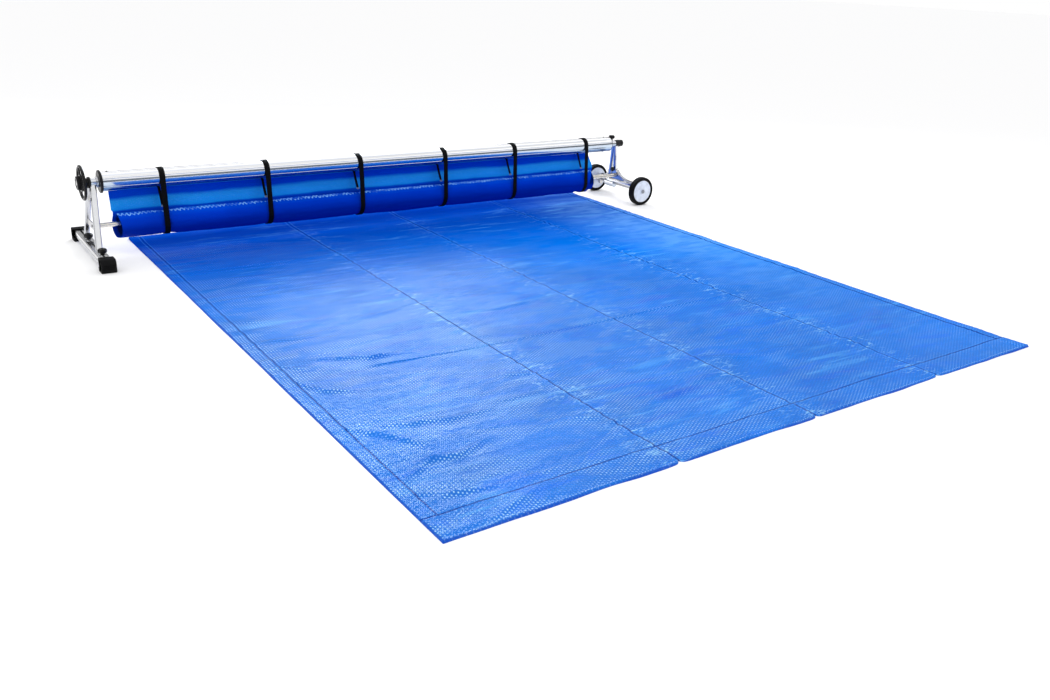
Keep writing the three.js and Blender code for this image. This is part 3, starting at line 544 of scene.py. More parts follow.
# ------------------------------------------------------------------ mesh helpers
def make(name, mesh, look, body, replaces=None, angle=32, clean=True):
    """Object from (vertices in metres, faces). angle: sharp edges from, in degrees; 0 for none."""
    verts, faces = mesh
    me = bpy.data.meshes.new(name)
    me.from_pydata([tuple(v) for v in verts], [], [tuple(int(i) for i in f) for f in faces])
    if clean:
        bm = bmesh.new()
        bm.from_mesh(me)
        bmesh.ops.remove_doubles(bm, verts=bm.verts, dist=1e-7)
        bmesh.ops.recalc_face_normals(bm, faces=bm.faces)
        bm.to_mesh(me)
        bm.free()
    me.validate()
    me.polygons.foreach_set("use_smooth", [True] * len(me.polygons))
    if angle:
        me.set_sharp_from_angle(angle=math.radians(angle))
    ob = bpy.data.objects.new(name, me)
    scene.collection.objects.link(ob)
    material, slot = LOOKS[look]
    me.materials.append(material)
    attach(ob, body)
    if replaces:
        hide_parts(replaces)
    return ob


def joined(*meshes):
    verts, faces = [], []
    for part_verts, part_faces in meshes:
        faces.extend(tuple(i + len(verts) for i in f) for f in part_faces)
        verts.extend(part_verts)
    return verts, faces


def fillet(points, radius, steps, closed=True):
    """Rounds the corners of an outline. radius is one number or one per corner."""
    pts = [np.array(p, float) for p in points]
    radii = radius if isinstance(radius, list) else [radius] * len(pts)
    out = []
    for i, (p, r) in enumerate(zip(pts, radii)):
        to_last, to_next = pts[i - 1] - p, pts[(i + 1) % len(pts)] - p
        len_last, len_next = np.linalg.norm(to_last), np.linalg.norm(to_next)
        open_end = not closed and i in (0, len(pts) - 1)
        if open_end or r <= 0 or len_last < 1e-9 or len_next < 1e-9:
            out.append(tuple(p))
            continue
        to_last, to_next = to_last / len_last, to_next / len_next
        half = math.acos(float(np.clip(to_last @ to_next, -1, 1))) / 2
        if half > math.radians(88):
            out.append(tuple(p))
            continue
        cut = min(r / math.tan(half), len_last * 0.49, len_next * 0.49)
        start, end = p + to_last * cut, p + to_next * cut
        for k in range(steps + 1):
            t = k / steps
            weights = [(1 - t) ** 2, 2 * t * (1 - t) * math.sin(half), t * t]
            out.append(tuple((start * weights[0] + p * weights[1] + end * weights[2])
                             / sum(weights)))
    return out


def place(axis, station, a, b):
    """Point in metres at a station along an axis; a and b go to the other two axes in order."""
    xyz = [a * MM, b * MM]
    xyz.insert("xyz".index(axis), station * MM)
    return tuple(xyz)


def bridge(loop_a, loop_b):
    """Quads between two closed loops of vertex numbers."""
    n = len(loop_a)
    return [(loop_a[i], loop_a[(i + 1) % n], loop_b[(i + 1) % n], loop_b[i]) for i in range(n)]


def ring_faces(rows, cols, closed=False, caps=True):
    """Faces of stacked rings, joined end to end if closed, else capped."""
    loops = [tuple(range(i * cols, (i + 1) * cols)) for i in range(rows)]
    faces = []
    for i in range(rows if closed else rows - 1):
        faces += bridge(loops[i], loops[(i + 1) % rows])
    if caps and not closed:
        faces += [loops[0][::-1], loops[-1]]
    return faces


def lathe(profile, axis, centre, segments, shape=None):
    """Turns a profile of (radius, station) about an axis. Radius 0 at both ends closes it.
    shape(angle, radius, station) may change the radius."""
    closed = not (profile[0][0] < 1e-6 and profile[-1][0] < 1e-6)
    verts, rings = [], []
    for r, s in profile:
        first = len(verts)
        if r < 1e-6:
            verts.append(place(axis, s, *centre))
        else:
            for t in np.arange(segments) * 2 * math.pi / segments:
                q = shape(t, r, s) if shape else r
                verts.append(place(axis, s, centre[0] + q * math.cos(t),
                                   centre[1] + q * math.sin(t)))
        rings.append(list(range(first, len(verts))))
    faces = []
    for a, b in list(zip(rings, rings[1:])) + ([(rings[-1], rings[0])] if closed else []):
        if len(a) == 1:
            faces += [(a[0], b[(i + 1) % segments], b[i]) for i in range(segments)]
        elif len(b) == 1:
            faces += [(a[i], a[(i + 1) % segments], b[0]) for i in range(segments)]
        else:
            faces += bridge(a, b)
    return verts, faces


def inset(outline, distance):
    points = np.array(outline, float)
    before, after = np.roll(points, 1, 0), np.roll(points, -1, 0)

    def normals(edges):
        edges = edges / np.maximum(np.linalg.norm(edges, axis=1, keepdims=True), 1e-9)
        return np.stack([-edges[:, 1], edges[:, 0]], 1)

    normal_in, normal_out = normals(points - before), normals(after - points)
    area = 0.5 * np.sum(before[:, 0] * points[:, 1] - points[:, 0] * before[:, 1])
    mitre = normal_in + normal_out
    mitre = mitre / np.maximum(np.linalg.norm(mitre, axis=1, keepdims=True), 1e-9)
    stretch = 1 / np.maximum(np.sum(mitre * normal_in, 1, keepdims=True), 0.5)
    return points + (1 if area > 0 else -1) * distance * np.clip(stretch, 1, 1.6) * mitre


def prism(outline, axis, start, end, bevel, steps, bore=None, stations=()):
    """Sweeps an outline along an axis with rounded ends. bore has as many points as outline."""
    quarter = [k / steps * math.pi / 2 for k in range(steps + 1)]
    lead = [(bevel * (1 - math.cos(q)), bevel * (1 - math.sin(q))) for q in quarter]
    rows = [(start + s, d) for s, d in lead] + [(s, 0) for s in stations]
    rows += [(end - s, d) for s, d in reversed(lead)]
    n = len(outline)
    verts = []
    for s, d in rows:
        ring = inset(outline, d) if d > 1e-6 else outline
        verts.extend(place(axis, s, *p) for p in ring)
    faces = ring_faces(len(rows), n, caps=bore is None)
    if bore is not None:
        base = len(verts)
        for s in (start, end):
            verts.extend(place(axis, s, *p) for p in bore)
        near, far = range(base, base + n), range(base + n, base + 2 * n)
        faces += bridge(range(n), near) + bridge(range(base - n, base), far) + bridge(near, far)
    return verts, faces


def rect(cx, cy, width, height, radius, steps):
    w, h = width / 2, height / 2
    corners = [(cx - w, cy - h), (cx + w, cy - h), (cx + w, cy + h), (cx - w, cy + h)]
    return fillet(corners, radius, steps)


def ribbon(path, width, thick, x, closed, drift, crown=0.0):
    """A flat strap along a path of (y, z), width along X, shifted by drift at each point."""
    points = np.array(path, float)
    if closed:
        tangent = np.roll(points, -1, 0) - np.roll(points, 1, 0)
    else:
        tangent = np.gradient(points, axis=0)
    tangent /= np.linalg.norm(tangent, axis=1, keepdims=True)
    normal = np.stack([tangent[:, 1], -tangent[:, 0]], 1)
    w, h, edge = width / 2, thick / 2, min(thick / 2, 1.0)
    section = [    # (x, height above the path)
        (-w, 0), (-w + edge * 0.35, h * 0.75), (-w + edge, h), (-width / 6, h + crown),
        (width / 6, h + crown), (w - edge, h), (w - edge * 0.35, h * 0.75), (w, 0),
        (w - edge * 0.35, -h * 0.75), (w - edge, -h), (width / 6, -h), (-width / 6, -h),
        (-w + edge, -h), (-w + edge * 0.35, -h * 0.75)]
    verts = []
    for point, out, shift in zip(points, normal, drift):
        for across, rise in section:
            verts.append(place("x", x + shift + across, *(point + out * rise)))
    return verts, ring_faces(len(points), len(section), closed)


def span(node, axis):
    """Ends of a frame piece along an axis, in mm."""
    lo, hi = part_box(node)
    i = "xyz".index(axis)
    return lo[i] * 1000, hi[i] * 1000


def middle(node, axis):
    lo, hi = span(node, axis)
    return (lo + hi) / 2


def half_size(node, axis):
    lo, hi = span(node, axis)
    return (hi - lo) / 2


# ------------------------------------------------------------------ places from the frame
TUBE_X0, TUBE_X1 = span("reel_tube", "x")
TUBE_R = half_size("reel_tube", "y")
TUBE_Z = middle("reel_tube", "z")
AXIS = (0.0, TUBE_Z)                   # (y, z) of the reel's axis
ROLL_X0, ROLL_X1 = span("cover_roll", "x")
SHEET_X0, SHEET_X1 = span("cover_sheet", "x")
SHEET_Y0, SHEET_Y1 = span("cover_sheet", "y")
STRAPS = [middle(f"strap_{i}", "x") for i in range(1, 7)]
BAR = (middle("spreader_bar", "y"), middle("spreader_bar", "z"))
BAR_R = half_size("spreader_bar", "y")


def turned(name, node, profile, look, axis="x", centre=AXIS, body="reel", segments=96,
           radius=None, steps=3, shape=None, angle=32):
    """A turned part in place of a frame piece. radius rounds the corners of the profile."""
    if radius:
        profile = fillet(profile, radius, steps)
    make(name, lathe(profile, axis, centre, segments, shape), look, body, node, angle)


def rod(radius, chamfer, start, end):
    return [(0, start), (radius - chamfer, start), (radius, start + chamfer),
            (radius, end - chamfer), (radius - chamfer, end), (0, end)]


def mirrored(half_profile, centre):
    """Profile of (radius, distance from the middle), repeated on the other side."""
    return ([(r, centre - s) for r, s in half_profile]
            + [(r, centre + s) for r, s in reversed(half_profile)])


def lobe_wave(angle, lobes, power):
    return (0.5 - 0.5 * math.cos(lobes * angle)) ** power


# ------------------------------------------------------------------ tube
FLUTES = 8
FLUTE_HALF = 3.2 / TUBE_R              # half width as an angle
FLUTE_DEPTH = 1.6
TUBE_WALL = 2.9
step = 2 * math.pi / FLUTES
groove = [    # (angle from the flute's middle, depth)
    (-FLUTE_HALF, 0), (-FLUTE_HALF * 0.8, 0.25), (-FLUTE_HALF * 0.6, FLUTE_DEPTH * 0.75),
    (-FLUTE_HALF * 0.35, FLUTE_DEPTH), (FLUTE_HALF * 0.35, FLUTE_DEPTH),
    (FLUTE_HALF * 0.6, FLUTE_DEPTH * 0.75), (FLUTE_HALF * 0.8, 0.25), (FLUTE_HALF, 0)]
flute = ([(q, 0) for q in np.linspace(-step / 2 + 0.002, -FLUTE_HALF - 0.02, 11)] + groove
         + [(q, 0) for q in np.linspace(FLUTE_HALF + 0.02, step / 2 - 0.012, 10)])
section = [(step * (k + 0.5) + q, depth) for k in range(FLUTES) for q, depth in flute]
outer = [((TUBE_R - depth) * math.cos(a), TUBE_Z + (TUBE_R - depth) * math.sin(a))
         for a, depth in section]
inner = [((TUBE_R - TUBE_WALL) * math.cos(a), TUBE_Z + (TUBE_R - TUBE_WALL) * math.sin(a))
         for a, _ in section]
make("tube", prism(outer, "x", TUBE_X0, TUBE_X1, bevel=0.5, steps=2, bore=inner,
                   stations=np.linspace(TUBE_X0 + 60, TUBE_X1 - 60, 24)),
     "tube", "reel", "reel_tube", angle=25)

# ------------------------------------------------------------------ reel ends
# profiles are (radius, x)
x0, x1 = span("left_tube_flange", "x")
turned("flange_left", "left_tube_flange", [
    (BORE_R, x0), (56, x0), (60, x0 + 3), (60, x0 + 11.5), (52.5, x0 + 13.2), (48, x0 + 14.5),
    (48, x1), (40, x1), (40, x0 + 26.5), (BORE_R, x0 + 26.5)], "black", radius=1.4)
x0, x1 = span("right_tube_flange", "x")
turned("flange_right", "right_tube_flange", [
    (BORE_R, x1), (BORE_R, x1 - 14.5), (38, x1 - 12.5), (38, x0), (48, x0),
    (48, TUBE_X1 + 0.3), (50.8, TUBE_X1 + 0.3), (50.8, x1 - 1.5), (49.3, x1)],
    "black", radius=0.8)
for side in ("left", "right"):
    node = f"{side}_axle_shaft"
    turned(f"shaft_{side}", node, rod(AXLE_R, 1.5, *span(node, "x")), "steel", segments=64)
for side in ("left", "right"):
    node = f"{side}_collar"
    x0, x1 = span(node, "x")
    R = half_size(node, "y")
    turned(f"collar_{side}", node, [
        (BORE_R, x0), (R - 1.5, x0), (R, x0 + 1.5), (R, x0 + 4.6), (R - 0.8, x0 + 5.2),
        (R - 0.8, x1 - 5.2), (R, x1 - 4.6), (R, x1 - 1.5), (R - 1.5, x1), (BORE_R, x1)],
        "chrome", radius=0.5)
x0, x1 = span("right_end_cap", "x")
turned("end_cap", "right_end_cap", [
    (0, x1 - 5.5), (BORE_R, x1 - 5.5), (BORE_R, x0), (24.4, x0), (25.4, x0 + 1), (25.4, x0 + 5),
    (24.6, x0 + 6), (24.6, x1 - 9), (24.0, x1 - 5), (22, x1 - 2.2), (18, x1 - 0.6), (12, x1),
    (10, x1 - 1.2), (0, x1 - 1.2)], "black")

SCREW_HEAD = [    # (radius, height above the tube)
    (2.5, -0.2), (2.7, 0), (5.6, 0), (6, 0.5), (5.8, 1.7), (4.8, 2.6), (3.2, 3.0), (2.3, 3.0),
    (2.0, 1.4), (0, 1.4)]
SCREW_TIP = 42                         # from the reel's axis
for side in ("left", "right"):
    for level, up in (("top", 1), ("bottom", -1)):
        node = f"{side}_tube_screw_{level}"
        seat = TUBE_Z + up * (TUBE_R + TUBE_GAP)
        tip = TUBE_Z + up * SCREW_TIP
        profile = [(0, tip), (2.5, tip)] + [(r, seat + up * h) for r, h in SCREW_HEAD]
        turned(f"{side}_screw_{level}", node, profile, "black", axis="z",
               centre=(middle(node, "x"), 0), segments=36)

# ------------------------------------------------------------------ handwheel
x0, x1 = span("handwheel_hub", "x")


def hub_ribs(angle, r, s):
    on_side = r > 30 and x0 + 4 < s < x0 + 41
    return r - (1.3 * lobe_wave(angle, 16, 2) if on_side else 0)


turned("handwheel_hub_block", "handwheel_hub", [
    (BORE_R, x0 + 16.5), (19.2, x0 + 16), (19.2, x0 + 1.2), (22, x0), (32, x0), (36, x0 + 3.5),
    (36, x0 + 41.5), (33, x0 + 45), (22, x0 + 45), (22, x1), (BORE_R, x1)],
    "handwheel", segments=128, radius=1.6, shape=hub_ribs)

GRIP_R = 8.0                           # radius of the rim's own section
WHEEL_X = middle("handwheel_rim", "x")
WHEEL_R = half_size("handwheel_rim", "y") - GRIP_R


def scalloped_ring(around=180, across=20):
    """Rim with 24 finger scallops on its inner side."""
    verts, faces = [], []
    for i in range(around):
        t = 2 * math.pi * i / around
        i2 = (i + 1) % around
        for j in range(across):
            q = 2 * math.pi * j / across
            j2 = (j + 1) % across
            r = GRIP_R - 1.5 * max(0, -math.cos(q)) * lobe_wave(t, 24, 1.5)
            reach = WHEEL_R + r * math.cos(q)
            verts.append(place("x", WHEEL_X + r * math.sin(q) * 0.98,
                               reach * math.cos(t), TUBE_Z + reach * math.sin(t)))
            faces.append((i * across + j, i2 * across + j, i2 * across + j2, i * across + j2))
    return verts, faces


def rounded(value):
    """Squares up a sine or cosine, for a section between an ellipse and a box."""
    return math.copysign(abs(value) ** 0.75, value)


def spoke(angle, rows=15, cols=18):
    """Spoke from the hub to the rim, thicker at both ends."""
    verts = []
    ca, sa = math.cos(angle), math.sin(angle)
    for i in range(rows):
        s = i / (rows - 1)
        reach = 41 + s * (WHEEL_R - 3.5 - 41)
        for j in range(cols):
            q = 2 * math.pi * j / cols
            w = 7.2 * (1 + 0.55 * abs(2 * s - 1) ** 2.5) * rounded(math.cos(q))
            h = 4.9 * (1 + 0.2 * abs(2 * s - 1) ** 2) * rounded(math.sin(q))
            verts.append(place("x", WHEEL_X + h, reach * ca - w * sa,
                               TUBE_Z + reach * sa + w * ca))
    return verts, ring_faces(rows, cols)


boss = fillet([(36.4, WHEEL_X - 8), (44, WHEEL_X - 8), (44, WHEEL_X + 8), (36.4, WHEEL_X + 8)],
              2.2, 4)
spokes = [spoke(math.pi / 2 - (2 * math.pi * k / 3 + 0.5)) for k in range(3)]
wheel = make("handwheel_ring", joined(scalloped_ring(), lathe(boss, "x", AXIS, 96), *spokes),
             "handwheel", "reel", "handwheel_rim", angle=0)
fuse = wheel.modifiers.new("fuse", "REMESH")
fuse.mode = "VOXEL"
fuse.voxel_size = 0.0012
fuse.use_smooth_shade = True
soften = wheel.modifiers.new("soften", "SMOOTH")
soften.factor = 0.5
soften.iterations = 4

# ------------------------------------------------------------------ left bearing
x0, x1 = span("left_bearing_sleeve", "x")
turned("sleeve_left", "left_bearing_sleeve", [
    (15.6, x0), (22.2, x0), (23.2, x0 + 1), (23.2, x1 - 1), (22.2, x1), (15.6, x1)],
    "chrome", body="frame", radius=0.4)
x0, x1 = span("left_bearing_bush", "x")
turned("bush_left", "left_bearing_bush", [
    (BORE_R, x0), (27, x0), (29, x0 + 2), (29, x0 + 13.2), (15.2, x0 + 13.2), (15.2, x1),
    (BORE_R, x1)], "black", body="frame", radius=1.1)


# ------------------------------------------------------------------ clamp knobs
def knob(name, node, axis, centre, start, end, R, depth, neck_r, neck, body):
    """Six-lobed knob from its neck end to its crown. neck is signed like the whole length."""
    bore = 4.4
    length = end - start
    skirt = start + neck
    grip = length - neck
    profile = [
        (bore, start), (neck_r, start), (neck_r, skirt), (R * 0.80, skirt),
        (R * 0.93, skirt + length * 0.05), (R, skirt + grip * 0.28), (R, skirt + grip * 0.62),
        (R * 0.93, skirt + grip * 0.84), (R * 0.72, end - length * 0.015), (R * 0.45, end),
        (bore + 3.5, end), (bore + 3, end - length * 0.05), (bore, end - length * 0.05)]
    radii = [0.3, 0.8, 0.8, 1.2] + [abs(length) * 0.09] * 5 + [0.6, 0.6, 0.4, 0.2]

    def lobed(angle, r, s):
        fade = max(0.0, min(1.0, (r - neck_r - 1) / (R * 0.55)))
        on_grip = (s - skirt) * (1 if length > 0 else -1) > -0.01
        return r - depth * fade * on_grip * lobe_wave(angle, 6, 1.3)

    turned(name, node, profile, "black", axis, centre, body, segments=120, radius=radii,
           steps=4, shape=lobed, angle=34)


for side in ("front", "rear"):
    node = f"left_{side}_clamp_knob"
    knob(f"clamp_knob_left_{side}", node, "z", (middle(node, "x"), middle(node, "y")),
         *span(node, "z"), R=23, depth=3.2, neck_r=11, neck=6.5, body=f"left_{side}_knob")


def lock_lobes(angle, r, s):
    return r - 2.6 * max(0, min(1, (r - 9.5) / 8)) * lobe_wave(angle, 6, 1.3)


z0, z1 = span("reel_lock_knob", "z")
LOCK_PROFILE = [    # (radius, z, corner radius)
    (0, z0, 0), (3.4, z0, 0), (4, z0 + 0.7, 0), (4, z0 + 11.5, 0.3), (9, z0 + 11.5, 0.8),
    (9, z0 + 24, 1), (18, z0 + 24, 1.2), (21, z0 + 25.5, 1.5), (22.2, z0 + 30, 2),
    (22.2, z1 - 9, 2), (20.6, z1 - 3.5, 2.5), (16, z1 - 0.4, 2.5), (10, z1, 2), (0, z1, 0)]
turned("lock_knob_grip", "reel_lock_knob",
       fillet([p[:2] for p in LOCK_PROFILE], [p[2] for p in LOCK_PROFILE], 4, closed=False),
       "black", axis="z", centre=(middle("reel_lock_knob", "x"), 0), body="lock_knob",
       segments=120, shape=lock_lobes, angle=34)
node = "right_clamp_knob"
x0, x1 = span(node, "x")
knob("clamp_knob_right", node, "x", (middle(node, "y"), middle(node, "z")), x1, x0,
     R=16, depth=2.2, neck_r=8.5, neck=-3.8, body="right_knob")

# ------------------------------------------------------------------ footed stand
beam_x = middle("left_base_beam", "x")
zb, zt = span("left_base_beam", "z")
BEAM_OUTLINE = [    # (x from the beam's middle, z, corner radius): slot on top, groove each side
    (-28, zb, 5), (28, zb, 5), (28, zb + 17, .4), (26.8, zb + 18.5, .4), (26.8, zb + 21.5, .4),
    (28, zb + 23, .4), (28, zt, 6), (4.8, zt, .8), (4.8, zt - 5, .4), (11.5, zt - 5, .4),
    (11.5, zt - 15, .4), (-11.5, zt - 15, .4), (-11.5, zt - 5, .4), (-4.8, zt - 5, .4),
    (-4.8, zt, .8), (-28, zt, 6), (-28, zb + 23, .4), (-26.8, zb + 21.5, .4),
    (-26.8, zb + 18.5, .4), (-28, zb + 17, .4)]
outline = fillet([(beam_x + x, z) for x, z, _ in BEAM_OUTLINE], [p[2] for p in BEAM_OUTLINE], 5)
make("base_beam_left", prism(outline, "y", *span("left_base_beam", "y"), bevel=0.4, steps=1),
     "beam", "frame", "left_base_beam", angle=30)

TOE = 13                               # foot's reach beyond its closed end of the beam
HEEL = TOE - 75                        # inner end of the foot
for label, out in (("front", -1), ("rear", 1)):
    node = f"left_{label}_foot"
    x0, x1 = span(node, "x")
    y0, y1 = span(node, "y")
    top = span(node, "z")[1]
    cx, half = middle(node, "x"), half_size(node, "x")
    end = y0 + TOE if out < 0 else y1 - TOE
    foot = [    # (y outward from the beam end, z, corner radius)
        (TOE - 7, 0, 4), (TOE, 9, 7), (TOE, top - 16, 10), (TOE - 7, top - 3.4, 7),
        (TOE - 17, top, 7), (HEEL + 9, top, 2.5), (HEEL + 9, zt + 0.3, 1), (0.3, zt + 0.3, 1),
        (0.3, zb - 0.3, 1), (HEEL, zb - 0.3, 2), (HEEL, 0, 3), (HEEL + 20, 0, .4),
        (HEEL + 22, 1.4, .4), (HEEL + 26, 1.4, .4), (HEEL + 28, 0, .4)]
    outline = fillet([(end + out * y, z) for y, z, _ in foot], [p[2] for p in foot], 5)
    parts = [prism(outline, "x", cx - half, cx + half, bevel=2.4, steps=4)]
    # ribs across the end face, kept within the foot's length
    for z in (22, 31, 40):
        y = end + out * (TOE - 0.4)
        rib = fillet([(y, z - 2), (y + out * 1.2, z - 1.2), (y + out * 1.2, z + 1.2), (y, z + 2),
                      (y - out * 2, z + 2), (y - out * 2, z - 2)], 0.4, 2)
        verts, faces = prism(rib, "x", cx - half + 9, cx + half - 9, bevel=0.8, steps=2)
        parts.append(([(vx, min(max(vy, y0 * MM), y1 * MM), vz) for vx, vy, vz in verts], faces))
    make(f"foot_{label}", joined(*parts), "foot", "frame", node, angle=38)

# ------------------------------------------------------------------ wheeled stand
node = "right_base_beam"
beam_x, beam_z = middle(node, "x"), middle(node, "z")
width, height = 2 * half_size(node, "x"), 2 * half_size(node, "z")
BEAM_WALL = 2.5
bore = rect(beam_x, beam_z, width - 2 * BEAM_WALL, height - 2 * BEAM_WALL, 12 - BEAM_WALL, 10)
make("base_beam_right", prism(rect(beam_x, beam_z, width, height, 12, 10), "y",
                              *span(node, "y"), bevel=0.6, steps=2, bore=bore),
     "beam", "frame", node, angle=30)
y0, y1 = span("wheel_axle", "y")
HUB_AXIS = (beam_x, middle("wheel_axle", "z"))
turned("axle", "wheel_axle", [
    (0, y0), (7.2, y0), (8, y0 + .8), (8, -228), (8.8, -227.4), (8.8, 227.4), (8, 228),
    (8, y1 - .8), (7.2, y1), (0, y1)], "steel", "y", HUB_AXIS, "frame", segments=64)

DISC_HALF = [    # (radius, distance from the wheel's middle plane)
    (8.4, 22.5), (16.5, 22.5), (19, 20.5), (20.5, 17.2), (26, 16.4), (46, 15.6), (62, 15.2),
    (65.5, 15.9), (68, 17.3), (71.5, 17.3), (74, 18.2), (77.4, 18.5)]
TYRE_BORE = 77.9
for label, out in (("front", -1), ("rear", 1)):
    node = f"{label}_wheel_tyre"
    wheel_y, h = middle(node, "y"), half_size(node, "y")
    R = half_size(node, "z")
    tyre_half = [    # same columns as the disc
        (TYRE_BORE, 19), (TYRE_BORE + 3.5, 20.6), (82, 22.2), (84, h), (91, h),
        (94.5, h - 0.6), (96.6, h - 2.4), (98.6, h - 6), (99.6, h - 10), (R, 8.2), (R, 5.2),
        (98.6, 4.6), (98.6, 2.4), (R, 1.8)]
    turned(f"tyre_{label}", node, mirrored(tyre_half, wheel_y), "tyre", "y", HUB_AXIS,
           f"{label}_wheel", segments=144, radius=0.7, steps=2, angle=34)
    turned(f"disc_{label}", f"{label}_wheel_disc", mirrored(DISC_HALF, wheel_y), "white", "y",
           HUB_AXIS, f"{label}_wheel", segments=144, radius=0.9, angle=34)
    # cap: from the disc, over the end of the axle, to its outer face
    base, pocket, face = wheel_y + out * 23.1, out * 283.4, out * 288.5
    turned(f"wheel_cap_{label}", f"{label}_wheel_cap", [
        (0, pocket), (8.3, pocket), (8.3, base), (13.4, base), (14, base + out * 0.6),
        (14, face - out * 3.2), (12.6, face - out * 1.2), (9, face - out * 0.2), (4, face),
        (0, face)], "grey", "y", HUB_AXIS, "frame", segments=64)

# ------------------------------------------------------------------ spreader bar
x0, x1 = span("spreader_bar", "x")
END_DEPTH = 28                         # solid length at each end
turned("spreader_bar_tube", "spreader_bar", [
    (4.5, x0), (BAR_R - 1, x0), (BAR_R, x0 + 1), (BAR_R, x1 - 1), (BAR_R - 1, x1), (4.5, x1),
    (4.5, x1 - END_DEPTH), (BAR_R - 1.6, x1 - END_DEPTH), (BAR_R - 1.6, x0 + END_DEPTH),
    (4.5, x0 + END_DEPTH)], "bar", centre=BAR, body="frame", segments=72)

# ------------------------------------------------------------------ frame pieces kept as they are
KEPT = {
    "leg": ["left_front_leg", "left_rear_leg", "right_rear_leg", "right_front_leg",
            "right_gusset_plate"],
    "brace": ["right_front_brace", "right_rear_brace"],
    "beam": ["right_front_axle_plate", "right_rear_axle_plate"],
    "steel": ["handwheel_nut", "left_web_plate", "left_bar_bolt", "left_front_clamp_bolt",
              "left_rear_clamp_bolt", "right_axle_bracket", "right_bar_bolt",
              "right_clamp_bolt"],
    "chrome": ["right_saddle_clamp", "right_bearing_sleeve"],
    "black": ["right_bearing_bush"],
}
for look, nodes in KEPT.items():
    material, slot = LOOKS[look]
    for node in nodes:
        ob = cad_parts[node]
        ob.data.materials.clear()
        ob.data.materials.append(material)

# ------------------------------------------------------------------ cover: hanging part and roll
ROLL_TOP = 232.0
ROLL_START = math.radians(52)          # angle where the hanging film runs onto the roll
TURNS = 3.15
TURN_STEP = 6.6                        # radius lost per turn
LEAN = 0.094                           # slope of the hanging film, in radians
TRIM = 260                             # length over which the ends are drawn in


def roll_bottom(x):
    """Height of the roll's underside, which sags unevenly."""
    return np.interp(x, [-1690, -1163, -562, 47, 613, 1197, 1600],
                     [91, 85, 80, 76, 74, 71, 68])


def half_width(half_height):
    return 66 + 8 * (half_height - 70) / 13


def pinch(x, width=40):
    """1 at each strap, falling away over the width."""
    return sum(bell(x - strap, width) for strap in STRAPS)


def sway(x):
    """0 at the straps, 1 half way between two of them."""
    s = np.zeros_like(x)
    edges = [ROLL_X0 - 160] + STRAPS + [ROLL_X1 + 160]
    for a, b in zip(edges, edges[1:]):
        s = np.where((x >= a) & (x < b), np.sin(np.pi * (x - a) / (b - a)) ** 2, s)
    return s


near_straps = np.array([-34, -26, -20, -15, -8, 0, 8, 15, 20, 26, 34])
xs = np.unique(np.concatenate([np.arange(ROLL_X0, ROLL_X1, 13.0), [ROLL_X1],
                               *[s + near_straps for s in STRAPS]]))
xs = xs[(xs >= ROLL_X0) & (xs <= ROLL_X1)]
xs = xs[np.concatenate([[True], np.diff(xs) > 3.0])]
pinched = pinch(xs)
free = 1 - np.clip(pinched, 0, 1)
swaying = sway(xs)
strap_distance = np.min(np.abs(xs[:, None] - np.array(STRAPS)[None, :]), axis=1)
roll_rz = (ROLL_TOP - roll_bottom(xs)) / 2
roll_z = (ROLL_TOP + roll_bottom(xs)) / 2
roll_ry = half_width(roll_rz)


def turn_of(angle):
    return (ROLL_START - angle) / (2 * math.pi)


def trimmed(left, right):
    """x of a row whose ends are drawn in by left and right."""
    return (xs + left * (1 - np.clip((xs - ROLL_X0) / TRIM, 0, 1))
            - right * np.clip((xs - (ROLL_X1 - TRIM)) / TRIM, 0, 1))


# Each of these returns x, y and z of one row of the film.
def wrap_row(angle):
    """On the rear of the tube."""
    r = TUBE_R + TUBE_GAP + FILM / 2
    return trimmed(7, 47), r * np.cos(angle), TUBE_Z + r * np.sin(angle)


def hang_row(z):
    """Hanging behind the tube, drawn forward at its foot and slack between the straps."""
    line = (53.4 + math.sin(LEAN) * (TUBE_Z - z)) / math.cos(LEAN) - FILM / 2 - 0.6
    u = (395 - z) / 150.0
    forward = 21 * sstep(0.45, 1.0, u) * (1 - 0.15 * pinched)
    billow = swaying * 7.0 * np.sin(np.pi * np.clip(u, 0, 1)) ** 1.5 * (1 - sstep(0.8, 1, u))
    wrinkle = ((vnoise(xs / 46, z / 420 + 3, 5) - 0.5) * (2.0 + 5.0 * bell(strap_distance, 95))
               * np.sin(np.pi * np.clip(u * 0.9 + 0.1, 0, 1)))
    swell = (fbm(xs / 330, z / 38, 9, 3) - 0.5) * 5.0 * sstep(0.1, 0.5, u)
    y = (line - forward + billow * free
         + (wrinkle - 1.0) * (1 - 0.85 * np.clip(pinch(xs, 24), 0, 1)) + swell * free)
    y = np.where(pinch(xs, 26) > 0.3, np.minimum(y, line), y)
    return trimmed(7 + 2 * math.sin(u * 3.1), 47 - 45 * u ** 1.2), y, z


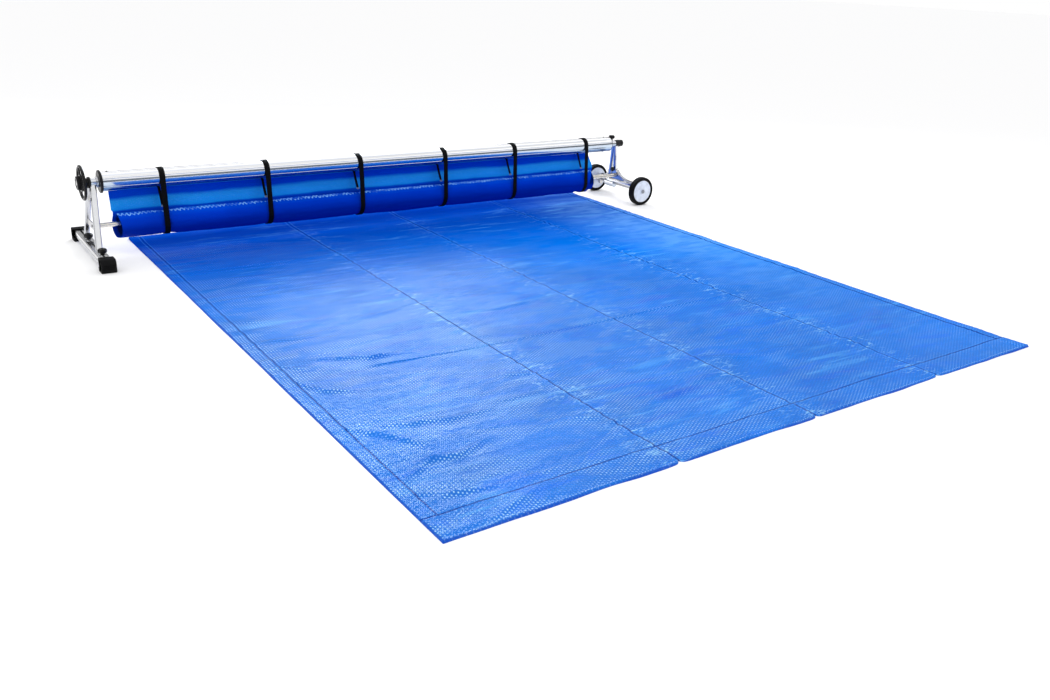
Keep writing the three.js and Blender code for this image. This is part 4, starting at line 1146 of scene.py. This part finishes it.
def roll_row(angle):
    """On the roll, spiralling inward; its ends are cut on a slant."""
    turn = turn_of(angle)
    inward = (TURN_STEP * turn + 0.9 * math.sin(3.1 * angle)
              + 9.0 * float(sstep(0.7, 1.35, turn)))
    wobble = (fbm(xs / 240, angle * 1.6, 31 + int(turn), 3) - 0.5) * (5.5 if turn < 1.05 else 3.0)
    creases = ridged(vnoise(xs / 130 + 1.7 * angle, angle * 3.6, 77), 3.0) * 1.8
    tension = ((vnoise(xs / 20, angle * 0.9, 12) - 0.5) * 2.8 * bell(strap_distance, 80)
               * (0 if turn > 1.1 else 1))
    change = (wobble + creases + tension) * sstep(0, 0.10, turn) - (5.5 * pinched + 1.0) - inward
    y = (roll_ry + change) * math.cos(angle)
    z = roll_z + (roll_rz + change) * math.sin(angle)
    if turn < 0.14:
        on_roll = sstep(0.0, 0.14, turn)
        y = y * on_roll + (41.5 + 14 * turn / 0.14) * (1 - on_roll)
    frontness = 0.5 - 0.5 * math.cos(angle)
    left = (8 + 20 * frontness + 5 * turn + 14 * float(sstep(0.75, 1.2, turn))
            + 3 * math.sin(2 * angle + turn))
    if turn < 1.0:
        right = 2 + 100 * float(sstep(0.0, 0.5, turn)) - 55 * float(sstep(0.62, 0.95, turn))
    else:
        right = 40 + 8 * turn
    return trimmed(left, right), y, z


def tail_row(t):
    """From the innermost turn onto the spreader bar."""
    r_turn = 64 - TURN_STEP * TURNS - 11
    angle = ROLL_START - 2 * math.pi * TURNS - t * 2.6 * math.pi
    onto_bar = float(sstep(0, 0.6, t))
    r = r_turn + ((BAR_R + 2.6) - r_turn) * onto_bar
    centre_z = roll_z + (BAR[1] - roll_z) * onto_bar
    return trimmed(46 + 10 * t, 50), BAR[0] + r * math.cos(angle), centre_z + r * math.sin(angle)


hang_heights = np.concatenate([np.linspace(392, 300, 15), np.linspace(292, 246, 12)])
roll_angles = np.radians(np.linspace(52, 52 - 360 * TURNS, int(74 * TURNS)))
rows = [wrap_row(a) for a in np.radians(np.linspace(62, 2, 9))]
rows += [hang_row(z) for z in hang_heights]
roll_first = len(rows)
rows += [roll_row(a) for a in roll_angles]
tail_first = len(rows)
rows += [tail_row(t) for t in np.linspace(0.08, 1.0, 14)]
film_grid = np.zeros((len(rows), len(xs), 3))
for i, row in enumerate(rows):
    for k in range(3):
        film_grid[i, :, k] = row[k]

# smooth both joins: onto the roll, and from the roll to the tail
for _ in range(4):
    for a, b in ((roll_first - 6, roll_first + 8), (tail_first - 4, tail_first + 4)):
        film_grid[a:b, :, 1:] = (0.25 * film_grid[a - 1:b - 1, :, 1:]
                                 + 0.5 * film_grid[a:b, :, 1:]
                                 + 0.25 * film_grid[a + 1:b + 1, :, 1:])

# welded seam along the upper front of the roll: a raised, slightly puckered line
for i, angle in enumerate(roll_angles, roll_first):
    if 0.55 < turn_of(angle) < 1.0:
        degrees = math.degrees(angle) + 360
        rise = bell(degrees - 121, 3.2) * 1.6 + bell(degrees - 131, 3.0) * 0.9
        rise = rise + (vnoise(xs / 11, degrees * 0.2, 3) - 0.35) * 2.2 * bell(degrees - 124, 9)
        film_grid[i, :, 1] += rise * math.cos(angle)
        film_grid[i, :, 2] += rise * math.sin(angle)


def grid_quads(index):
    return np.stack([index[:-1, :-1], index[1:, :-1], index[1:, 1:], index[:-1, 1:]],
                    -1).reshape(-1, 4)


def thick_sheet(grid, thick):
    """Closed body from a grid of centre points, with rounded free edges."""
    du, dv = np.gradient(grid, axis=0), np.gradient(grid, axis=1)
    normal = np.cross(du, dv)
    normal /= np.maximum(np.linalg.norm(normal, axis=2, keepdims=True), 1e-9)
    a, b = grid.shape[:2]
    count = a * b
    skins = [(grid + side * normal * thick / 2).reshape(-1, 3) for side in (1, -1)]
    index = np.arange(count).reshape(a, b)
    quads = grid_quads(index)
    faces = np.concatenate([quads, quads[:, ::-1] + count]).tolist()
    rim = [*index[0, :], *index[1:, -1], *index[-1, -2::-1], *index[-2:0:-1, 0]]
    # a row half way through the thickness, pushed out so that the edge is round
    edge = []
    for k in rim:
        i, j = divmod(k, b)
        out = np.zeros(3)
        for on_edge, sign, slope in ((i == 0, -1, du), (i == a - 1, 1, du),
                                     (j == 0, -1, dv), (j == b - 1, 1, dv)):
            if on_edge:
                out += sign * slope[i, j] / np.linalg.norm(slope[i, j])
        out /= np.linalg.norm(out)
        edge.append(grid[i, j] + out * thick * 0.42)
    verts = np.concatenate([*skins, np.array(edge)]) * MM
    base = 2 * count
    for k in range(len(rim)):
        n = (k + 1) % len(rim)
        faces.append([rim[n], rim[k], base + k, base + n])
        faces.append([rim[k] + count, rim[n] + count, base + n, base + k])
    return verts, faces


make("cover_roll_film", thick_sheet(film_grid, FILM), "roll", "frame", "cover_roll", angle=55)


# ------------------------------------------------------------------ straps, loose ends and clips
def strap_path(x):
    """Closed (y, z) loop: over the tube, down the front, under the roll and up the rear."""
    over_r = TUBE_R + TUBE_GAP + FILM + 1.3
    bottom = float(roll_bottom(x)) + 5.0
    rz = (ROLL_TOP - bottom) / 2 + 2.2
    centre_z = (ROLL_TOP + bottom) / 2
    ry = float(half_width((ROLL_TOP - float(roll_bottom(x))) / 2)) - 1.2
    side_y = ry + 0.4
    legs = np.linspace(0.06, 0.94, 16)
    points = [(over_r * math.cos(a), TUBE_Z + over_r * math.sin(a))
              for a in np.radians(np.linspace(0, 180, 34))]
    points += [(-(over_r + (side_y - over_r) * s), TUBE_Z + (centre_z - TUBE_Z) * s)
               for s in legs]
    points += [((side_y if abs(math.cos(a)) > 0.98 else ry) * math.cos(a),
                centre_z + rz * math.sin(a)) for a in np.radians(np.linspace(180, 360, 40))]
    points += [(side_y + (over_r - side_y) * s + 3.5 * math.sin(math.pi * s),
                centre_z + (TUBE_Z - centre_z) * s) for s in legs]
    return points


def clip_mesh(x, y, z, slope):
    """Rounded frame with a bar across it, centred on a point (mm) and tilted about X."""
    ring = prism(rect(0, 0, 18, 11, 3.2, 5), "z", -2.1, 2.1, bevel=0.8, steps=3,
                 bore=rect(0, 0, 12, 6, 1.4, 5))
    crossbar = prism(rect(0, 0, 13, 2.6, 1.1, 4), "z", -1.5, 1.5, bevel=0.5, steps=2)
    verts, faces = joined(ring, crossbar)
    ca, sa = math.cos(slope), math.sin(slope)
    return [(x * MM + a, y * MM + b * ca - c * sa, z * MM + b * sa + c * ca)
            for a, b, c in verts], faces


END_SHIFT = -15                        # loose end's x from the middle of its strap
for i, x in enumerate(STRAPS):
    path = strap_path(x)
    drift = [1.6 * math.sin(2 * math.pi * k / len(path) * 2 + i * 1.3)
             for k in range(len(path))]
    band = ribbon(path, width=30, thick=2.0, x=x, closed=True, drift=drift, crown=0.25)
    make(f"strap_band_{i + 1}", band, "web", "frame", f"strap_{i + 1}", angle=40)
    # loose end: from the rear of the tube forward and down to the top of the roll
    ts = np.linspace(0, 1, 26)
    path = [(46 - 50 * t + 3 * math.sin(math.pi * t), 366 + (245 - 366) * t) for t in ts]
    drift = [9 + 5 * t + 0.8 * math.sin(4 * t + i) for t in ts]
    loose = ribbon(path, width=15, thick=1.8, x=x + END_SHIFT, closed=False, drift=drift)
    make(f"strap_end_{i + 1}", loose, "web", "frame", angle=40)
    slope = math.atan2(path[-1][1] - path[-4][1], path[-1][0] - path[-4][0])
    make(f"strap_clip_{i + 1}", clip_mesh(x + END_SHIFT + drift[-1], *path[-1], slope),
         "clip", "frame", angle=40)

# ------------------------------------------------------------------ cover laid on the floor
HEM_LEFT, HEM_RIGHT, HEM_FRONT = SHEET_X0 + 61.0, SHEET_X1 - 58.0, SHEET_Y0 + 133.0


def thinned(start, end, values):
    """Sorted values between start and end, at least 0.9 apart, with the last one at end."""
    values = np.unique(np.round(np.concatenate(values), 3))
    values = values[(values >= start) & (values <= end)]
    keep = [values[0]]
    for v in values[1:]:
        if v - keep[-1] > 0.9:
            keep.append(v)
    keep[-1] = end
    return np.array(keep)


def grid_lines(start, end, step, centres, offsets):
    """Evenly spaced lines, closer together round the centres and at both edges."""
    close = [c + np.array(offsets) for c in centres]
    lines = thinned(start, end, [np.arange(start, end + 1e-6, step), [start, end], *close])
    edge = np.array([1, 2.5, 5, 9])
    return thinned(start, end, [lines, [start, end], start + edge, end - edge])


lines_x = grid_lines(SHEET_X0, SHEET_X1, 13.0, SEAMS + [HEM_LEFT, HEM_RIGHT],
                     [-14, -9, -6, -4, -2.5, -1.2, 0, 1.2, 2.5, 4, 6, 9, 14])
lines_y = grid_lines(SHEET_Y0, SHEET_Y1, 8.5, [HEM_FRONT, -498.0, -545.0, -2050.0],
                     [-12, -8, -5, -3, -1.4, 0, 1.4, 3, 5, 8, 12])
gridx, gridy = np.meshgrid(lines_x, lines_y, indexing="ij")

# broad swells, and tension ridges that run mostly along X
height = 1.2 + 3.2 * fbm(gridx / 620, gridy / 430, 3, 3)
patch = sstep(0.35, 0.7, fbm(gridx / 520, gridy / 360, 41, 2))
warp = 26 * (fbm(gridx / 260, gridy / 260, 8, 2) - 0.5)
bend = 0.3 * vnoise(gridx / 90, gridy / 90, 6)
ridges = ridged(vnoise(gridx / 360 + bend, (gridy + warp) / 44, 21), 2.4)
small_ridges = ridged(vnoise(gridx / 210 + 5, (gridy + warp * 0.7) / 27, 29), 3.0)
height += 3.8 * ridges * (0.25 + 0.75 * patch) + 2.2 * small_ridges * patch

# puckers along the seams
for k, seam in enumerate(SEAMS):
    off = np.abs(gridx - seam)
    along = vnoise(gridx / 300 + 9 * k, gridy / 26, 50 + k) - 0.35
    gate = sstep(0.3, 0.65, vnoise(k * 3.3, gridy / 310, 60 + k))
    height += 6.4 * along * bell(off, 48, 1.5) * (0.4 + 0.6 * gate)
    fan = vnoise((gridx - seam) / 80 + 40, (gridy + 0.35 * (gridx - seam)) / 30, 90 + k)
    height += 3.6 * ridged(fan, 3) * bell(off - 40, 80) * gate

# puckers along the side hems and the front hem
for k, (hem, inward) in enumerate(((HEM_LEFT, 1), (HEM_RIGHT, -1))):
    off = (gridx - hem) * inward
    along = vnoise(gridx / 200 + 3 * k, gridy / 30, 70 + k) - 0.35
    height += 2.6 * along * bell(np.maximum(off, 0), 95, 1.4) * (off > -8)
    slanted = vnoise(gridx / 60, (gridy + 0.6 * gridx * inward) / 24, 75 + k) - 0.4
    height += 1.8 * slanted * (off <= 0)
off = gridy - HEM_FRONT
height += 2.0 * (vnoise(gridx / 34, gridy / 120, 81) - 0.4) * bell(np.abs(off), 90, 1.6)
height += 1.6 * (vnoise((gridx - 0.5 * gridy) / 30, gridy / 60, 82) - 0.4) * (off < 0)


def crease(points, width, rise):
    """Height of a fold along a polyline (metres), tapered at its ends. width and rise in mm."""
    pts = [np.array(p) * 1000 for p in points]
    lengths = [np.linalg.norm(b - a) for a, b in zip(pts, pts[1:])]
    total, done = sum(lengths), 0.0
    nearest = np.full(gridx.shape, 1e9)
    along = np.zeros(gridx.shape)
    for a, b, length in zip(pts, pts[1:], lengths):
        dx, dy = b - a
        t = np.clip(((gridx - a[0]) * dx + (gridy - a[1]) * dy) / length ** 2, 0, 1)
        distance = np.hypot(gridx - (a[0] + t * dx), gridy - (a[1] + t * dy))
        closer = distance < nearest
        nearest = np.where(closer, distance, nearest)
        along = np.where(closer, (done + t * length) / total, along)
        done += length
    taper = np.sin(np.pi * np.clip(0.06 + 0.88 * along, 0, 1)) ** 0.8
    return 1.5 * rise * bell(nearest, 0.82 * width * (0.5 + 0.5 * taper)) * taper


CREASES = [    # (points (x, y) in metres, half width in mm, height in mm)
    # long fold lines across the sheet
    ([(-1.50, -0.478), (-1.05, -0.502), (-0.63, -0.530), (-0.1, -0.545), (0.5, -0.55)], 9, 4.6),
    ([(-1.54, -0.527), (-1.13, -0.553), (-0.64, -0.572), (-0.2, -0.60)], 8, 3.6),
    ([(-1.25, -2.028), (-0.92, -2.052), (-0.62, -2.066), (0.0, -2.062), (0.5, -2.05),
      (1.0, -2.06)], 9, 4.2),
    ([(-0.6, -1.20), (0.1, -1.215), (0.85, -1.21), (1.4, -1.22)], 9, 2.4),
    # left side
    ([(-1.50, -0.172), (-1.21, -0.196), (-0.9, -0.2)], 10, 3.0),
    ([(-1.455, -1.0), (-1.18, -1.036), (-0.85, -1.06)], 22, 4.5),
    ([(-1.40, -1.845), (-1.15, -1.942), (-0.95, -1.99)], 20, 7.5),
    ([(-1.50, -1.87), (-1.43, -1.95)], 13, 5.0),
    ([(-1.50, -1.30), (-1.36, -1.375)], 14, 4.5),
    ([(-1.44, -1.59), (-1.33, -1.625), (-1.2, -1.63)], 14, 4.5),
    ([(-1.50, -2.05), (-1.44, -2.175), (-1.34, -2.215)], 17, 7.5),
    ([(-1.50, -2.50), (-1.41, -2.60), (-1.32, -2.735)], 18, 8.0),
    ([(-1.41, -2.52), (-1.29, -2.565), (-1.15, -2.60), (-0.98, -2.60)], 22, 6.0),
    ([(-1.49, -2.91), (-1.36, -2.825), (-1.26, -2.85), (-1.1, -2.79)], 20, 8.0),
    ([(-1.50, -3.0), (-1.39, -3.055), (-1.24, -3.09), (-1.0, -3.09)], 14, 5.0),
    ([(-1.39, -3.25), (-1.27, -3.20), (-1.12, -3.15)], 16, 4.5),
    ([(-0.78, -2.79), (-0.66, -2.87)], 12, 5.0),
    ([(-0.80, -2.35), (-0.65, -2.42), (-0.52, -2.41)], 13, 4.5),
    # right side and middle
    ([(0.80, -2.82), (1.15, -2.70), (1.45, -2.54)], 55, 8.0),
    ([(0.80, -2.86), (1.2, -2.86), (1.5, -2.80)], 30, 5.5),
    ([(0.86, -1.9), (1.1, -2.02), (1.5, -2.05)], 34, 5.0),
    ([(0.06, -2.6), (0.3, -2.72), (0.6, -2.72)], 26, 5.0),
    ([(0.0, -2.75), (-0.2, -2.84), (-0.45, -2.85)], 22, 5.0),
    ([(-0.63, -0.9), (-0.4, -0.95), (-0.1, -0.93)], 16, 3.5),
    ([(-0.66, -1.45), (-0.9, -1.50), (-1.1, -1.49)], 18, 4.0),
    ([(-0.62, -1.62), (-0.35, -1.68), (-0.1, -1.66)], 18, 4.0),
]
for points, width, rise in CREASES:
    height += crease(points, width, rise)

# welded seams and hem lines: a narrow groove beside a slight lap
for seam in SEAMS:
    off = gridx - seam
    height += 0.9 * sstep(-16, -3, off) * (1 - sstep(-3, 0, off)) - 2.0 * bell(off, 1.7)
for off in (HEM_LEFT - gridx, gridx - HEM_RIGHT, HEM_FRONT - gridy):
    height += 1.1 * sstep(0, 2.5, off) - 1.9 * bell(off, 1.7)
# bead along the edges, falling to the rim
for off in (gridx - SHEET_X0, SHEET_X1 - gridx, gridy - SHEET_Y0, SHEET_Y1 - gridy):
    height = height * (0.25 + 0.75 * sstep(0, 7, off)) + 1.6 * bell(off - 6, 4.0)
height = np.clip(height, 0.9, 20)
# the rear edge lifts toward the roll, and its ripples flatten
height = height + 17 * sstep(150, 288, gridy)
height = np.where(gridy > 60, 0.9 + (height - 0.9) * (1 - 0.5 * sstep(60, 200, gridy)), height)

# front edge gently scalloped and notched where the seams end; side edges slightly wavy
front_in = 5.5 * (fbm(lines_x / 190, 0, 5, 2) - 0.5) * 2
for seam in SEAMS:
    front_in += 17 * bell(np.abs(lines_x - seam), 9.0, 1.2)
front_in = np.clip(front_in + 2.5, 0, None)
side_wave = 3.0 * (fbm(lines_y / 260, 4, 15, 2) - 0.5)
left_in = np.clip(side_wave + 1.5, 0, 3)
right_in = np.clip(1.5 - side_wave, 0, 3)
sheet_y = gridy + front_in[:, None] * (1 - sstep(0, 70, gridy - SHEET_Y0))
sheet_x = (gridx + left_in[None, :] * (1 - sstep(0, 60, gridx - SHEET_X0))
           - right_in[None, :] * (1 - sstep(0, 60, SHEET_X1 - gridx)))

# top skin, a skirt down to just above the floor, and one face underneath
top = np.stack([sheet_x, sheet_y, height], -1).reshape(-1, 3)
index = np.arange(len(top)).reshape(gridx.shape)
faces = grid_quads(index).tolist()
rim = [*index[:, 0], *index[-1, 1:], *index[-2::-1, -1], *index[0, -2:0:-1]]
skirt = top[rim].copy()
skirt[:, 2] = 0.15
base = len(top)
for k in range(len(rim)):
    n = (k + 1) % len(rim)
    faces.append([rim[n], rim[k], base + k, base + n])
faces.append([base + k for k in range(len(rim))][::-1])
make("cover_sheet_film", (np.concatenate([top, skirt]) * MM, faces), "sheet", "frame",
     "cover_sheet", angle=50, clean=False)


# ------------------------------------------------------------------ stitches along the front hem
def sheet_z(x, y):
    i = int(np.clip(np.searchsorted(lines_x, x), 1, len(lines_x) - 1))
    j = int(np.clip(np.searchsorted(lines_y, y), 1, len(lines_y) - 1))
    return float(height[i, j])


STITCH = [(-3.6, 0.25), (-2.9, 0.95), (-1.2, 1.3), (1.2, 1.3), (2.9, 0.95), (3.6, 0.25)]  # x, radius
STITCH_SIDES = 8
stitch_y = SHEET_Y0 + 13
stitches = []
for x in np.arange(SHEET_X0 + 22, SHEET_X1 - 18, 13.0):
    if min(abs(x - seam) for seam in SEAMS) < 12:
        continue
    y = stitch_y + float(np.interp(x, lines_x, front_in)) * 0.9
    z = sheet_z(x, stitch_y) + 0.1
    verts = []
    for dx, r in STITCH:
        for j in range(STITCH_SIDES):
            t = 2 * math.pi * j / STITCH_SIDES
            verts.append(place("x", x + dx, y + r * math.cos(t), z + 0.55 * r * math.sin(t)))
    stitches.append((verts, ring_faces(len(STITCH), STITCH_SIDES)))
make("cover_hem_stitches", joined(*stitches), "thread", "frame", angle=60)

# ------------------------------------------------------------------ studio floor
FLOOR_HALF = 120.0
floor_mesh = bpy.data.meshes.new("studio_floor")
floor_mesh.from_pydata([(x * FLOOR_HALF, y * FLOOR_HALF, 0)
                        for x, y in ((-1, -1), (1, -1), (1, 1), (-1, 1))], [], [(0, 1, 2, 3)])
floor = bpy.data.objects.new("studio_floor", floor_mesh)
scene.collection.objects.link(floor)
m = Mat("studio_floor", (0.97, 0.97, 0.975), rough=0.9, spec=0.0)
m.set("Roughness", m.remap(m.noise(3), (0.3, 0.7), to=(0.85, 0.95)))
floor_mesh.materials.append(m.material)

# ------------------------------------------------------------------ world
# (height of the direction, grey): what shiny surfaces see toward the front and toward the rear
FRONT_SKY = [(0.0, 0.10), (0.11, 0.08), (0.17, 0.60), (0.26, 0.90), (0.42, 1.05), (0.66, 1.15),
             (0.74, 0.85), (0.86, 0.9), (1.0, 1.2)]
REAR_SKY = [(0.0, 0.6), (0.05, 0.25), (0.28, 0.35), (0.40, 0.8), (0.56, 1.2), (0.84, 1.3),
            (0.94, 1.2), (1.0, 1.2)]
world = bpy.data.worlds.new("studio")
scene.world = world
world.use_nodes = True
sky = Nodes(world.node_tree)
output = sky.node("OutputWorld")
background = sky.node("Background")
_, sky_y, sky_z = sky.xyz(sky.node("TexCoord").outputs["Generated"])
front_sky, rear_sky = [sky.ramp(sky_z, [(at, (grey,) * 3) for at, grey in stops])
                       for stops in (FRONT_SKY, REAR_SKY)]
studio_sky = sky.mix(sky.remap(sky_y, (-0.25, 0.25)), front_sky, rear_sky)
# all but glossy rays see plain white
glossy_ray = sky.node("LightPath").outputs["Is Glossy Ray"]
sky.feed(background.inputs["Color"], sky.mix(glossy_ray, (1, 1, 1), studio_sky))
background.inputs["Strength"].default_value = 1.0
sky.feed(output.inputs["Surface"], background.outputs[0])


# ------------------------------------------------------------------ lights
def area(name, location, target, size, power, color=(1, 1, 1), glossy=True):
    light = bpy.data.lights.new(name, "AREA")
    light.shape = "RECTANGLE"
    light.size, light.size_y = size
    light.energy = power
    light.color = color
    ob = bpy.data.objects.new(name, light)
    scene.collection.objects.link(ob)
    ob.location = location
    aim = Vector(target) - Vector(location)
    ob.rotation_euler = aim.to_track_quat("-Z", "Y").to_euler()
    ob.visible_camera = False
    ob.visible_glossy = glossy
    return ob


CAMERA_AT = Vector((-2.70662, -5.19303, 1.49828))
# softbox placed so that its reflection lies on the left middle of the floor sheet
sheen_on = Vector((-0.98, -1.75, 0.0))
view = (sheen_on - CAMERA_AT).normalized()
reflected = Vector((view.x, view.y, -view.z))
sheen_from = sheen_on + reflected * 6.2 + Vector((0.2, 0, 0.5))
sheen = area("sheen_box", sheen_from, sheen_on, size=(2.3, 1.9), power=158,
             color=(0.77, 0.90, 1.0))
sheen.visible_diffuse = False
area("sheen_fill", sheen_from, sheen_on, size=(3.0, 2.6), power=150, glossy=False)
area("key_top", (-1.8, -3.2, 5.5), (0, -1.0, 0), size=(4, 3), power=78, glossy=False)

# ------------------------------------------------------------------ camera
camera_data = bpy.data.cameras.new("camera")
camera_data.sensor_width = 36.0
camera_data.sensor_fit = "HORIZONTAL"
camera_data.lens = 31.8276
camera_data.clip_start, camera_data.clip_end = 0.05, 500
camera = bpy.data.objects.new("camera", camera_data)
scene.collection.objects.link(camera)
right = Vector((0.82013649, -0.57026815, 0.04658719))
up = Vector((0.17794367, 0.33159929, 0.92648689))
forward = Vector((0.54379425, 0.75155582, -0.37343229))
turn = Matrix((right, up, -forward)).transposed()
camera.matrix_world = Matrix.Translation(CAMERA_AT) @ turn.to_4x4()
scene.camera = camera
scene.view_settings.view_transform = "Standard"
scene.view_settings.look = "None"
